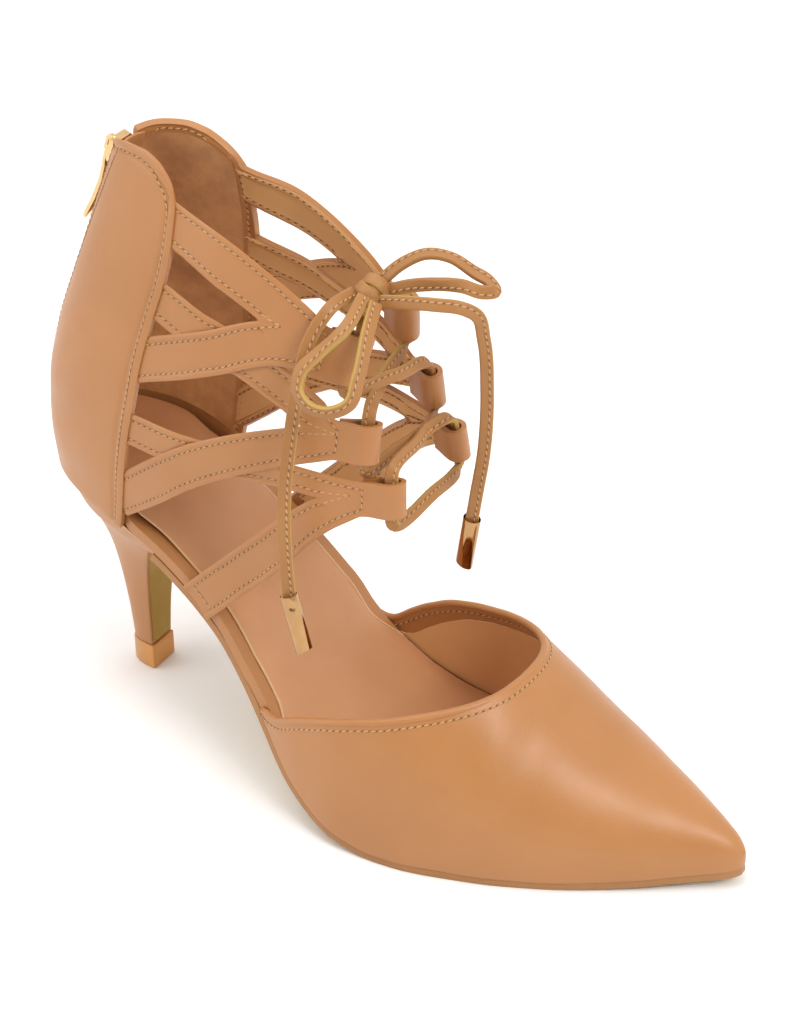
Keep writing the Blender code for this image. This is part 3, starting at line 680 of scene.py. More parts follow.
# %% [markdown]
# The insole board is wrapped in tan leather, and its rounded edge shows all along the open waist. On it
# lies the sock, a thin smooth sheet set back from that edge, padded under the heel. Both could be extruded
# from one outline. They are laid as grids, like the outsole, so that they lie close all along.

# %% Insole board and sock
BOARD_LOW = SOLE_THICK + 1.3 * GAP
SOCK_SET_BACK = 4.4
SOCK_THICK, SOCK_CLEAR = 0.6, 0.05
# shares of the set back by which the sock is shorter than the board, at its back and at its front
SHORT_BACK, SHORT_FRONT = 0.2, 0.4
# x, share of the set back, rise of the padding under the sock
SOCK_FIT = [
    (-146, 0.1, 5.4), (-120, 0.12, 5.0), (-108, 0.5, 2.8), (-96, 1.0, 0.9), (-84, 1.0, 0.0), (-54, 1.0, 0.0),
    (-44, 0.12, 0.0), (72, 0.1, 0.0),
]


def board_top(x):
    return above_tread(x, BOARD_LOW + BOARD_THICK)


def round_ends(u, back, front):
    """x along a piece whose both ends are round."""
    return back + (front - back) * (1 - math.cos(u * math.pi)) / 2


def insole_sheet(name, set_back, rise, columns=110, rows=16):
    back, front = BOARD_BACK + SHORT_BACK * set_back, BOARD_FRONT - SHORT_FRONT * set_back
    pad = 1.0 if set_back else 0.0

    def place(u, v):
        x = round_ends(u, back, front)
        inset = curve(BOARD_INSET, 1, x) + set_back * curve(SOCK_FIT, 1, x)
        low, high = edge(x, LATERAL) + inset, edge(x, MEDIAL) - inset
        low, high = min(low, high), max(low, high)
        return (x, low + (high - low) * v, board_top(x) + rise + pad * curve(SOCK_FIT, 2, x))

    piece = lay_grid(name, columns, rows, place)
    face_away(piece, (-30, 0, -400))
    return piece


insole = insole_sheet("insole_wrapped", 0.0, 0.0)
thicken(insole, BOARD_THICK, 1.6, 6)
dress(insole, UPPER_TAN, "leather_sock", "insole")
sock = insole_sheet("sock", SOCK_SET_BACK, SOCK_THICK)
thicken(sock, SOCK_THICK - SOCK_CLEAR, 0.25, 2)
dress(sock, SOCK_TAN, "leather_sock")

# %% [markdown]
# The heel is a slim moulded block under tan leather. Its sections are D shaped: a round back, a flat
# breast. A scaled cylinder would have the wrong sections, so a ring of grid columns goes round each
# section, rows climb the table, and the top follows the feather line.

# %% Heel block
HEEL_FULLNESS = 2.45
# height at the back, back, height at the breast, breast, half width: heel from the lift up
HEEL = [
    (8.9, -127.2, 8.9, -118.1, 5.0), (20, -128.3, 20, -117.7, 5.6), (34, -130.3, 34, -116.5, 7.0),
    (45, -132.4, 44, -114.2, 9.4), (54, -135.0, 51.4, -110.7, 13.0), (61.5, -137.9, 56.4, -105.7, 17.4),
    (67.5, -140.8, 59.4, -100.6, 21.6),
]
HEEL_TOP_SHARE, HEEL_TOP_LAP, SEAT_INSET = 0.93, 0.2, 0.2
# share of a section's grid columns that go round the back
ROUND_SHARE = 0.8


def heel_section(rise):
    """Back height, back, breast height, breast and half width at a share of the way up."""
    if rise < HEEL_TOP_SHARE:
        z = HEEL[0][0] + (HEEL[-1][0] - HEEL[0][0]) * rise / HEEL_TOP_SHARE
        return (z, *(curve(HEEL, column, z) for column in (1, 2, 3, 4)))
    share = (rise - HEEL_TOP_SHARE) / (1 - HEEL_TOP_SHARE)
    seat_half = edge(HEEL_SEAT_FRONT, MEDIAL) - SOLE_INSET - SEAT_INSET
    seat = (
        feather(HEEL_SEAT_BACK), HEEL_SEAT_BACK, feather(HEEL_SEAT_FRONT), HEEL_SEAT_FRONT, seat_half,
    )
    return tuple(a + (b - a) * share for a, b in zip(HEEL[-1], seat))


def d_outline(u, back, breast, half):
    """Plan point of a D shaped section: u runs round the back, then across the flat breast."""
    power = 2 / HEEL_FULLNESS
    if u >= ROUND_SHARE:
        return breast, half - 2 * half * (u - ROUND_SHARE) / (1 - ROUND_SHARE)
    turn = math.pi * u / ROUND_SHARE
    s, c = math.sin(turn), math.cos(turn)
    return breast - (breast - back) * max(s, 0) ** power, -half * math.copysign(abs(c) ** power, c)


def close_ends(piece):
    """Fill the open rings of a tube."""
    edit(piece)
    bpy.ops.mesh.fill_holes(sides=0)
    bpy.ops.mesh.normals_make_consistent(inside=False)
    leave_edit()
    return piece


def heel_place(u, v):
    z_back, back, z_breast, breast, half = heel_section(v)
    x, y = d_outline(u, back, breast, half)
    z = z_breast + (z_back - z_breast) * (breast - x) / (breast - back)
    share = max(v - HEEL_TOP_SHARE, 0) / (1 - HEEL_TOP_SHARE)
    return (x, y, z + (feather(x) + HEEL_TOP_LAP - z) * share)


heel = close_ends(merge([lay_grid("heel_covered", 80, 60, heel_place)]))
round_edges(heel, 0.35, 50)
dress(heel, UPPER_TAN, "heel_cover", "heel")

# %% [markdown]
# The heel's flat front, its breast, is covered in the sole's mustard leather inside a narrow tan rim. It
# could be a second material on the heel's own faces. A thin sheet of its own gives it a real, rounded cut
# edge.

# %% Heel breast cover
BREAST_RIM, BREAST_PROUD, BREAST_THICK = 0.75, 0.35, 0.5
# shares of the heel's height: where the cover starts, and how tall it is
BREAST_FOOT, BREAST_TALL = 0.012, 0.95


def breast_place(u, v):
    _, _, z, breast, half = heel_section(BREAST_FOOT + BREAST_TALL * v)
    half = half - BREAST_RIM
    return (breast + BREAST_PROUD, -half + 2 * half * u, z)


breast = lay_grid("heel_breast", 12, 50, breast_place)
face_away(breast, (-300, 0, 30))
thicken(breast, BREAST_THICK, 0.2, 2)
dress(breast, SOLE_MUSTARD, "heel_cover")

# %% [markdown]
# The top lift is a small amber block with the heel's own D shaped outline, a little larger all round. A
# plain cylinder would miss the flat breast, so it is laid like the heel and closed above and below. Its
# edges are softened as a moulding's are.

# %% Top lift
LIFT_BACK, LIFT_BREAST, LIFT_HALF, LIFT_TOP = -127.6, -117.4, 5.4, 8.6


def lift_place(u, v):
    x, y = d_outline(u, LIFT_BACK, LIFT_BREAST, LIFT_HALF)
    return (x, y, LIFT_TOP * v)


lift = close_ends(merge([lay_grid("top_lift_amber", 60, 4, lift_place)]))
round_edges(lift, 0.5, 50)
dress(lift, TIP_AMBER, "lift_plastic", "top_lift")

# %% [markdown]
# The vamp is the closed front: one hide pulled over the last from the feather line to the topline. A single
# box or sphere would never give this pointed form, so two half grids, outer and inner side, follow the
# last's own sections. First comes the form itself: how high the crest and the topline are at each place,
# and the soft troughs and ridges that the ball of a foot leaves in the leather.

# %% Vamp: form
VAMP_WALL = 1.7
VAMP_BACK, THROAT_X = -56.4, 13.4
VAMP_FULLNESS = {LATERAL: 2.2, MEDIAL: 2.05}
# x, crest height, crest side: ridge of the toe and instep
CREST = [
    (-62, 108, -3), (-40, 91, -2), (-20, 76, -1), (0, 60.6, 0), (13.4, 50.2, 0.8), (20, 45.0, 1.4),
    (27, 39.8, 1.8), (36, 34.2, 2.4), (48, 28.2, 3.0), (60, 23.0, 3.2), (70, 18.6, 3.0),
    (77, 15.0, 2.7), (80.7, 11.4, 2.5),
]
# x, lateral height above the feather line, medial height: topline of the vamp
TOPLINE = [
    (-56.4, 1.8, 0.8), (-54, 4.0, 1.4), (-50, 8.8, 4.6), (-43, 19.2, 15.4), (-37, 26.8, 23.8),
    (-27.6, 35.3, 33.2), (-16, 41.3, 39.2), (-5, 44.3, 42.2), (3, 45.7, 44.4), (8, 46.4, 45.8),
    (11, 46.9, 46.7), (13.4, 47.6, 47.6),
]
# x, y, reach along, reach across, height: ridges and troughs
FLEX = [(14, -21, 6, 13, 0.5), (23, -18, 5, 12, -0.5), (33, -15, 7, 13, 0.5), (4, -36, 9, 10, -0.35)]


def share_up(x, height, side, least):
    """Share of the way up its section at which the vamp is that high above the feather line."""
    sine = min(max(height / (curve(CREST, 1, x) - feather(x)), least), 1.0)
    return math.asin(sine ** (VAMP_FULLNESS[side] / 2)) / (math.pi / 2)


def topline_share(x, side):
    """How far up its section the vamp reaches at x."""
    return share_up(x, curve(TOPLINE, COLUMN_OF[side], x), side, 0.004)


def vamp_point(x, share, side):
    low, high = feather(x) + GAP, curve(CREST, 1, x)
    middle, rim = curve(CREST, 2, x), edge(x, side)
    turn = share * math.pi / 2
    power = 2 / VAMP_FULLNESS[side]
    y = middle + (rim - middle) * max(math.cos(turn), 0) ** power
    return np.array((x, y, low + (high - low) * math.sin(turn) ** power))


def vamp_normal(x, share, side, step=0.4):
    """Outward direction of the vamp."""
    ahead, behind = min(x + step, TOE_X), x - step
    along = vamp_point(ahead, share, side) - vamp_point(behind, share, side)
    up = vamp_point(x, min(share + 0.01, 1), side) - vamp_point(x, max(share - 0.01, 0), side)
    normal = -side * np.cross(along, up)
    return normal / max(np.linalg.norm(normal), 1e-9)


def flexed(point, normal):
    """Point with the listed ridges and troughs added."""
    lift = 0.0
    for x, y, along, across, height in FLEX:
        far = ((point[0] - x) / along) ** 2 + ((point[1] - y) / across) ** 2
        lift += height * math.exp(-far)
    return point + lift * normal


print("vamp: throat at", vamp_point(THROAT_X, 1.0, LATERAL).round(1), "mm")

# %% [markdown]
# The hide itself: the rows crowd together where the throat turns and where the toe ends, because the form
# bends most there. A subdivision modifier could smooth a coarse sheet, but it would shrink the pointed toe.
# The two halves are welded along the crest and thickened inwards.

# %% Vamp: leather
BEHIND, AHEAD = 60, 44


def station(u, back, throat, nose):
    """x at u from 0 to 1: close together where the throat turns and where the toe ends."""
    i = u * (BEHIND + AHEAD)
    if i <= BEHIND:
        return throat - (throat - back) * math.sin((1 - i / BEHIND) * math.pi / 2) ** 2
    return nose - (nose - throat) * (1 - math.sin((i - BEHIND) / AHEAD * math.pi / 2))


def vamp_half(side):
    def place(u, v):
        x = station(u, VAMP_BACK, THROAT_X, TOE_X)
        share = v * (topline_share(x, side) if x < THROAT_X else 1.0)
        return flexed(vamp_point(x, share, side), vamp_normal(x, share, side))

    return lay_grid("vamp_half", BEHIND + AHEAD, 26, place)


vamp = merge([vamp_half(LATERAL), vamp_half(MEDIAL)], 0.12)
vamp.name = "vamp_leather"
face_away(vamp, (10, 0, -20))
thicken(vamp, VAMP_WALL, 0.55)
dress(vamp, UPPER_TAN, "leather_upper", "vamp")

# %% [markdown]
# Beads, cut edges and laces are all long thin things. A curve with a bevel would do for a round one. A flat
# lace also has to turn its face, so this helper carries a profile along a line and says at each point which
# way is out. It also gives the strip a map along its length, which the lace's finish reads.

# %% Helper: a profile swept along a line
TAPER_LEAST = 0.3


def new_piece(name, corners, faces):
    """Object with a mesh of corners, in millimetres, and faces."""
    mesh = bpy.data.meshes.new(name)
    mesh.from_pydata([tuple(v) for v in corners * MM], [], faces)
    piece = bpy.data.objects.new(name, mesh)
    bpy.context.scene.collection.objects.link(piece)
    return piece


def square_to(points, outs):
    """Ways out of and across a line at each point, both square to it."""
    run = unit(np.gradient(points, axis=0))
    outs = unit(outs - run * (outs * run).sum(1)[:, None])
    return outs, np.cross(run, outs)


def sweep(name, points, outs, profile, closed=False, taper=0.0):
    """Profile of (across, out) points carried along a line; outs say which way out is at each point.

    The map named strip holds the length along it and the share round the profile."""
    points, outs = np.array(points, float), np.array(outs, float)
    profile = np.array(profile, float)
    far = far_along(points)
    around = np.linalg.norm(np.diff(np.vstack([profile, profile[:1]]), axis=0), axis=1)
    around = np.concatenate([[0], np.cumsum(around)]) / around.sum()
    fatness = np.ones(len(points))
    if taper:
        from_end = np.clip(np.minimum(far, far[-1] - far) / taper, 0, 1)
        fatness = TAPER_LEAST + (1 - TAPER_LEAST) * from_end
    outs, across = square_to(points, outs)
    count = len(profile)
    sized = profile[None] * fatness[:, None, None]
    rings = points[:, None] + sized[:, :, :1] * across[:, None] + sized[:, :, 1:] * outs[:, None]
    faces, spots = [], []
    last = len(points) if closed else len(points) - 1
    for i in range(last):
        k = (i + 1) % len(points)
        for j in range(count):
            n = (j + 1) % count
            faces.append((i * count + j, i * count + n, k * count + n, k * count + j))
            ahead = far[i + 1] if i + 1 < len(far) else far[i]
            spots += [far[i], around[j], far[i], around[j + 1], ahead, around[j + 1], ahead, around[j]]
    if not closed:
        faces.append(tuple(range(count))[::-1])
        faces.append(tuple((len(points) - 1) * count + j for j in range(count)))
    piece = new_piece(name, rings.reshape(-1, 3), faces)
    strip = piece.data.uv_layers.new(name="strip")
    strip.data.foreach_set("uv", spots + [0.0] * (2 * len(piece.data.loops) - len(spots)))
    edit(piece)
    bpy.ops.mesh.normals_make_consistent(inside=False)
    leave_edit()
    return piece


def round_profile(across, out, count=12):
    """Ellipse of (across, out) points."""
    turns = [2 * math.pi * k / count for k in range(count)]
    return [(across * math.cos(a), out * math.sin(a)) for a in turns]


print("helpers: new_piece, square_to, sweep, round_profile")

# %% [markdown]
# The topline is finished with a folded bead. A round strip follows the rim from the outer wing round the
# throat to the inner wing and thins out at both ends. A bevel on the vamp's rim would be even all round,
# and the real bead stands a little proud of the leather, so it is a strip of its own.

# %% Vamp: topline bead
BEAD_ACROSS, BEAD_OUT, BEAD_PROUD, BEAD_TAPER, BEAD_STEP = 1.15, 1.1, 0.1, 3.0, 1.2


def topline(count=90):
    """Points and outward normals along the rim, from the outer wing round the throat to the inner wing."""
    turns = [k / count * math.pi / 2 for k in range(count + 1)]
    stations = [VAMP_BACK + (THROAT_X - VAMP_BACK) * math.sin(turn) for turn in turns]
    outer = [(x, LATERAL) for x in stations]
    inner = [(x, MEDIAL) for x in stations[-2::-1]]
    points, normals = [], []
    for x, side in outer + inner:
        share = topline_share(x, side)
        normals.append(vamp_normal(x, min(share, 0.985), side))
        points.append(vamp_point(x, share, side))
    return np.array(points), np.array(normals)


def evenly(points, step, *others):
    """Points again, about step apart, with other columns carried along."""
    points = np.array(points, float)
    along = far_along(points)
    at = np.linspace(0, along[-1], max(2, round(along[-1] / step) + 1))
    columns = [np.array(other, float) for other in (points, *others)]
    carried = [np.stack([np.interp(at, along, c[:, k]) for k in range(3)], 1) for c in columns]
    return carried if others else carried[0]


topline_points, topline_normals = topline()
rim, rim_out = evenly(topline_points, BEAD_STEP, topline_normals)
bead_line = rim - rim_out * (VAMP_WALL / 2 - BEAD_PROUD)
bead = sweep("vamp_bead", bead_line, rim_out, round_profile(BEAD_ACROSS, BEAD_OUT), taper=BEAD_TAPER)
dress(bead, UPPER_TAN, "leather_upper", angle=80)

# %% [markdown]
# The sock is cut, not folded, so its raw edge shows as a fine pale line along the open waist. It could be
# painted by the sock's material, but a line that thin would need a very fine mask. A thin strip is simpler.

# %% Sock: pale cut edge
EDGE_FROM, EDGE_TO, EDGE_WIDE, EDGE_HIGH = -106, -45, 0.42, 0.3
EDGE_POINTS = 60


def sock_rim(side):
    """Line along the sock's edge over the open waist."""
    line = []
    for x in np.linspace(EDGE_FROM, EDGE_TO, EDGE_POINTS):
        inset = curve(BOARD_INSET, 1, x) + SOCK_SET_BACK * curve(SOCK_FIT, 1, x)
        height = board_top(x) + SOCK_THICK - EDGE_HIGH / 2 + curve(SOCK_FIT, 2, x)
        line.append((x, edge(x, side) - side * inset, height))
    return np.array(line)


upwards = np.tile((0, 0, 1.0), (EDGE_POINTS, 1))
edge_profile = round_profile(EDGE_WIDE, EDGE_HIGH, 8)
cut_edges = [sweep("sock_edge", sock_rim(side), upwards, edge_profile) for side in SIDES]
dress(merge(cut_edges, 0.001), CUT_EDGE, "leather_sock", angle=80)

# %% [markdown]
# Seams hold a shoe together, and they make it look real. A bump in the material could hint at thread. Seen
# this near, real stitches are better, and they stay cheap: one is modelled as a small sphere pulled long,
# with a few faces, and everything else is copies of it.

# %% Stitch
STITCH_PITCH, STITCH_LONG, STITCH_WIDE, STITCH_HIGH = 2.15, 1.75, 0.56, 0.5

bpy.ops.mesh.primitive_uv_sphere_add(segments=6, ring_count=4, radius=0.5)
one_stitch = bpy.context.object
edit(one_stitch)
bpy.ops.transform.rotate(value=math.pi / 2, orient_axis="Y", center_override=(0, 0, 0))
bpy.ops.transform.resize(value=(STITCH_LONG, STITCH_WIDE, STITCH_HIGH), center_override=(0, 0, 0))
leave_edit()
STITCH_CORNERS = np.array([v.co for v in one_stitch.data.vertices])
STITCH_FACES = [tuple(f.vertices) for f in one_stitch.data.polygons]
bpy.data.objects.remove(one_stitch)


def copies(name, corners, faces, frames):
    """One mesh of many copies of a small shape: frames hold a place and three directions each."""
    all_corners, all_faces = [], []
    for place, along, across, out in frames:
        first = len(all_corners) * len(corners)
        all_corners.append(place + corners @ np.array((along, across, out)))
        all_faces += [tuple(first + k for k in face) for face in faces]
    return new_piece(name, np.concatenate(all_corners), all_faces)


print("one stitch:", len(STITCH_FACES), "faces,", STITCH_LONG, "mm long")

# %% [markdown]
# A seam sets the copies along a line, each turned to the seam, over a thin dark line of painted shade: it
# stands for the shadow in the needle holes and between the stitches. The line lies a little inside an edge. A
# search tree of the leather's faces finds which side of the edge has leather, and sets every stitch on its
# surface.

# %% Helper: seams
STITCH_SLANT, SEAM_PROUD = 0.12, 0.05
# width, height and sinking of the dark line of painted hole shade
HOLE_SHADE_WIDE, HOLE_SHADE_HIGH, HOLE_SHADE_SINK = 0.3, 0.1, 0.02
LEATHER_NEAR = 0.3


def sew(name, lines, slot, lift=SEAM_PROUD):
    """Stitches and a dark line of painted shade for the needle holes, along each (points, normals) of lines.
    """
    frames, holes = [], []
    profile = round_profile(HOLE_SHADE_WIDE, HOLE_SHADE_HIGH, 6)
    for number, (points, outs) in enumerate(lines):
        points, outs = evenly(points, STITCH_PITCH, outs)
        if len(points) < 3:
            continue
        outs = unit(outs)
        along = unit(np.diff(points, axis=0))
        middle = (points[1:] + points[:-1]) / 2
        out = (outs[1:] + outs[:-1]) / 2
        across = unit(np.cross(out, along))
        slant = along + STITCH_SLANT * across
        frames += list(zip(middle + out * lift, slant, across, out))
        holes.append(sweep(f"{name}_line_{number}", points - outs * HOLE_SHADE_SINK, outs, profile))
    stitches = copies(f"{name}_stitches", STITCH_CORNERS, STITCH_FACES, frames)
    dress(stitches, THREAD_TAN, slot, angle=80)
    # the dark line is painted shade for the needle holes and the gaps between the stitches
    hole_shade = merge(holes, 0.001)
    hole_shade.name = f"{name}_hole_shade_line"
    dress(hole_shade, HOLE_SHADE_BROWN, slot, angle=80)


def tree_of(piece):
    """Search tree of a piece's faces, in millimetres."""
    corners = [v.co / MM for v in piece.data.vertices]
    return BVHTree.FromPolygons(corners, [tuple(f.vertices) for f in piece.data.polygons])


def beside(points, outs, inset, tree):
    """Line inset from an edge, on the piece's outer face: tries both sides and keeps the one with leather."""
    points, outs = np.array(points), np.array(outs)
    across = unit(np.cross(outs, unit(np.gradient(points, axis=0))))
    best = None
    for turn in (1, -1):
        tried = points + turn * inset * across
        found = [tree.find_nearest(Vector(p + LEATHER_NEAR * n)) for p, n in zip(tried, outs)]
        far = np.mean([f[3] for f in found])
        if best is None or far < best[0]:
            best = (far, np.array([f[0] for f in found]), np.array([f[1] for f in found]))
    return best[1], best[2]


print("helpers: sew, tree_of, beside")

# %% [markdown]
# One row of stitches follows the vamp's topline below the bead, and shows inside on the facing as well. The
# rim's own points are used again, moved in by the seam's distance, so that the row runs even with the edge.

# %% Vamp: seams
SEAM_INSET = 2.2
vamp_tree = tree_of(vamp)
seam, seam_out = beside(rim, rim_out, SEAM_INSET, vamp_tree)
inner_seam = (seam - seam_out * (VAMP_WALL + SEAM_PROUD), -seam_out)
sew("vamp", [(seam, seam_out), inner_seam], "leather_upper")

# %% [markdown]
# Inside, the vamp is lined in brown leather. The lining stops short of the topline, where the tan leather
# turns in as a facing. The inner wall could get a second material, but the step at the facing would be
# lost. It is a second pair of grids, set one wall's thickness inside the first.

# %% Vamp: lining
FACING_LONG, FACING_DEEP = 6.0, 3.4
LINING_THICK, LINING_CLEAR = 0.35, 0.08
# from the vamp's back end and from its toe, and the share up its section at which the lining starts
LINING_BACK, LINING_NOSE, LINING_FOOT = 8.0, 6.0, 0.03


def lining_half(side):
    throat = THROAT_X + FACING_LONG

    def place(u, v):
        x = station(u, VAMP_BACK + LINING_BACK, throat, TOE_X - LINING_NOSE)
        top = 1.0
        if x < throat:
            behind = x - FACING_LONG
            reach = feather(behind) + curve(TOPLINE, COLUMN_OF[side], behind) - FACING_DEEP
            top = share_up(x, reach - feather(x), side, 0.02)
        share = LINING_FOOT + v * (top - LINING_FOOT)
        return vamp_point(x, share, side) - (VAMP_WALL + LINING_CLEAR) * vamp_normal(x, share, side)

    return lay_grid("lining_half", BEHIND + AHEAD, 22, place)


lining = merge([lining_half(LATERAL), lining_half(MEDIAL)], 0.35)
lining.name = "vamp_lining"
face_away(lining, (10, 0, -20))
apply(lining, "SOLIDIFY", thickness=LINING_THICK * MM, offset=-1)
dress(lining, LINING_BROWN, "leather_upper")

# %% [markdown]
# The quarter wraps the heel and ankle and closes with a zip down its back. The foot isn't round here, so a
# turned form wouldn't fit: tables give the ankle's level sections, its front edges and its collar. The
# inner front edge lies a little further forward than the outer one.

# %% Quarter: form
QUARTER_WALL = 2.0
ZIP_SLOT_HALF, ZIP_SLOT_FOOT = 4.4, 0.18
ANKLE_FULLNESS = 2.4
# first guess of the quarter's foot, and rounds in which it settles on the feather line
FOOT_GUESS, FOOT_ROUNDS = 70.0, 5
# height, back, front, half width, widest at: level sections of the heel and ankle
ANKLE = [
    (45, -143.0, 28, 28.8, -88), (60, -144.6, 18, 27.2, -92), (70, -145.2, 12, 26.4, -96),
    (76, -145.6, 8, 26.6, -98), (90, -146.4, -3, 27.4, -100), (105, -145.6, -12, 27.2, -98),
    (120, -142.2, -20, 25.9, -95), (140, -135.2, -29, 22.2, -90), (160, -127.7, -37, 18.1, -86),
    (173, -122.8, -41, 15.4, -84), (184, -119.2, -45, 12.6, -83), (194, -116.0, -49, 9.8, -82),
]
# height, front edge of the quarter
QUARTER_FRONT = [
    (66, -110.5), (73, -109.0), (87, -106.5), (99, -104.5), (111, -102.0), (129, -98.8), (140, -96.2),
    (149, -93.8), (160, -92.0), (172, -91.4), (180, -91.4), (190, -91.4),
]
# height, how much further forward the inner side's front edge lies
INNER_LONGER = [(66, 7.0), (99, 7.0), (129, 6.5), (149, 4.5), (172, 2.0), (186, 0.5)]
# share of the way from the zip to the front edge, height: collar of the quarter
QUARTER_TOP = [
    (0, 182.0), (0.35, 184.0), (0.6, 184.4), (0.78, 183.0), (0.9, 180.0), (0.97, 176.4), (1.0, 173.0),
]


def half_width(x, z):
    """Half width of the ankle form at x on the level z."""
    back, front, wide, mid = (curve(ANKLE, column, z) for column in (1, 2, 3, 4))
    share = (mid - x) / (mid - back) if x < mid else (x - mid) / (front - mid)
    share = min(max(share, 0), 0.999)
    return wide * (1 - share**ANKLE_FULLNESS) ** (1 / ANKLE_FULLNESS)


def back_of(y, z):
    """x of the back of the ankle form, y to the side of its middle, on the level z."""
    back, _, wide, mid = (curve(ANKLE, column, z) for column in (1, 2, 3, 4))
    return mid - (mid - back) * (1 - (abs(y) / wide) ** ANKLE_FULLNESS) ** (1 / ANKLE_FULLNESS)


def front_edge(z, side):
    """x of the quarter's front edge on the level z."""
    return curve(QUARTER_FRONT, 1, z) + (curve(INNER_LONGER, 1, z) if side > 0 else 0.0)


def quarter_point(share, rise, side):
    """Point of the quarter: share runs from the zip to the front edge, rise from the sole to the collar."""
    top = curve(QUARTER_TOP, 1, share)
    z = FOOT_GUESS + (top - FOOT_GUESS) * rise
    for _ in range(FOOT_ROUNDS):
        front = front_edge(z, side)
        mid = curve(ANKLE, 4, z)
        back = curve(ANKLE, 1, z)
        start = math.asin((ZIP_SLOT_HALF / curve(ANKLE, 3, z)) ** (ANKLE_FULLNESS / 2))
        stop = math.pi / 2
        if front < mid:
            stop = math.acos(((mid - front) / (mid - back)) ** (ANKLE_FULLNESS / 2))
        turn = start + (stop - start) * share
        x = mid - (mid - back) * max(math.cos(turn), 0) ** (2 / ANKLE_FULLNESS)
        if front > mid:
            x = x + (front - mid) * share**3
        bottom = feather(x) + GAP
        z = bottom + (top - bottom) * rise
    return np.array((x, side * half_width(x, z), z))


print("quarter: collar starts at", quarter_point(0.0, 1.0, LATERAL).round(1), "mm")

# %% [markdown]
# Its front and top edges are folded under and sewn, so they are thick and round with a trough along the
# seam. A bevel rounds a rim but makes no trough. So the grid's last rows crowd together at the edge, and a
# small height is added to each.

# %% Quarter: folded edges
SIDE_COLUMNS, SLOT_COLUMNS, FOOT_ROWS, QUARTER_ROWS = 34, 6, 10, 56
# distances from a folded edge at which the rows run close together
RIM_STEPS = (4.4, 3.6, 3.1, 2.7, 2.3, 1.8, 1.2, 0.6, 0.0)
FRONT_REACH, TOP_REACH = 55.0, 112.0
# height or depth, distance from the edge, reach: rim of a folded edge, trough beside it, then their end
FOLD_RIM, FOLD_TROUGH, FOLD_END = (0.22, 1.2, 0.75), (0.34, 2.75, 0.6), 5.0


def rim_shape(far):
    """Height of a folded edge: a rounded rim and a trough where its seam pulls the leather down."""
    rim, trough = (
        high * math.exp(-(((far - at) / reach) ** 2)) for high, at, reach in (FOLD_RIM, FOLD_TROUGH)
    )
    return rim - trough


def to_rim(step, steps, reach):
    """Share from 0 to 1 whose last steps crowd together at the edge."""
    even = steps - len(RIM_STEPS) + 1
    if step <= even:
        return (1 - RIM_STEPS[0] / reach) * step / even
    return 1 - RIM_STEPS[step - even] / reach


def quarter_rise(v):
    """Rows packed so that one of them lies at the foot of the zip."""
    row = round(v * QUARTER_ROWS)
    if row <= FOOT_ROWS:
        return ZIP_SLOT_FOOT * row / FOOT_ROWS
    upper = to_rim(row - FOOT_ROWS, QUARTER_ROWS - FOOT_ROWS, TOP_REACH * (1 - ZIP_SLOT_FOOT))
    return ZIP_SLOT_FOOT + (1 - ZIP_SLOT_FOOT) * upper


def quarter_normal(share, rise, side):
    """Point of the quarter and its outward direction."""
    point = quarter_point(share, rise, side)
    along = quarter_point(min(share + 0.02, 1), rise, side) - quarter_point(max(share - 0.02, 0), rise, side)
    up = quarter_point(share, min(rise + 0.02, 1), side) - quarter_point(share, max(rise - 0.02, 0), side)
    normal = -side * np.cross(along, up)
    return point, unit(normal)


def quarter_skin(share, rise, side):
    """Quarter's outer face with its folded front and top edges."""
    far = min((1 - share) * FRONT_REACH, (1 - rise) * TOP_REACH)
    if far > FOLD_END:
        return quarter_point(share, rise, side)
    point, normal = quarter_normal(share, rise, side)
    return point + rim_shape(far) * normal


print("folded edge:", len(RIM_STEPS), "rows within", RIM_STEPS[0], "mm of the edge")

# %% [markdown]
# The quarter is one grid from front edge to front edge. The cells over the zip are picked by their place
# and deleted, as a cutter would slit the pattern piece. A Boolean could cut the slot as well, but it would
# leave ragged faces at the rim that the bevel can't round.

# %% Quarter: leather
SLOT_MARGIN = 0.3


def quarter_place(u, v):
    column = round(u * (2 * SIDE_COLUMNS + SLOT_COLUMNS))
    rise = quarter_rise(v)
    if column <= SIDE_COLUMNS:
        return quarter_skin(to_rim(SIDE_COLUMNS - column, SIDE_COLUMNS, FRONT_REACH), rise, LATERAL)
    if column >= SIDE_COLUMNS + SLOT_COLUMNS:
        step = column - SIDE_COLUMNS - SLOT_COLUMNS
        return quarter_skin(to_rim(step, SIDE_COLUMNS, FRONT_REACH), rise, MEDIAL)
    share = (column - SIDE_COLUMNS) / SLOT_COLUMNS
    low, high = quarter_point(0, rise, LATERAL), quarter_point(0, rise, MEDIAL)
    point = low + (high - low) * share
    return np.array((back_of(point[1], point[2]), point[1], point[2]))


quarter = lay_grid("quarter_leather", 2 * SIDE_COLUMNS + SLOT_COLUMNS, QUARTER_ROWS, quarter_place)
slot_foot = quarter_point(0, ZIP_SLOT_FOOT, LATERAL)[2]
pick_faces(quarter, lambda at, out: abs(at[1]) < ZIP_SLOT_HALF - SLOT_MARGIN and at[2] > slot_foot)
bpy.ops.mesh.delete(type="FACE")
leave_edit()
face_away(quarter, (-105, 0, 120))
thicken(quarter, QUARTER_WALL, 0.65)
dress(quarter, UPPER_TAN, "leather_upper", "quarter")

# %% [markdown]
# A row of stitches holds the folded edge all round, and shows inside too. Two rows run down each side of
# the zip, one to close the edge and one to hold the tape.

# %% Quarter: seams
FOLD_SEAM, ZIP_SEAMS = 2.7, (1.6, 5.4)
FOLD_STEP, LINE_POINTS = 1.5, 40
quarter_tree = tree_of(quarter)


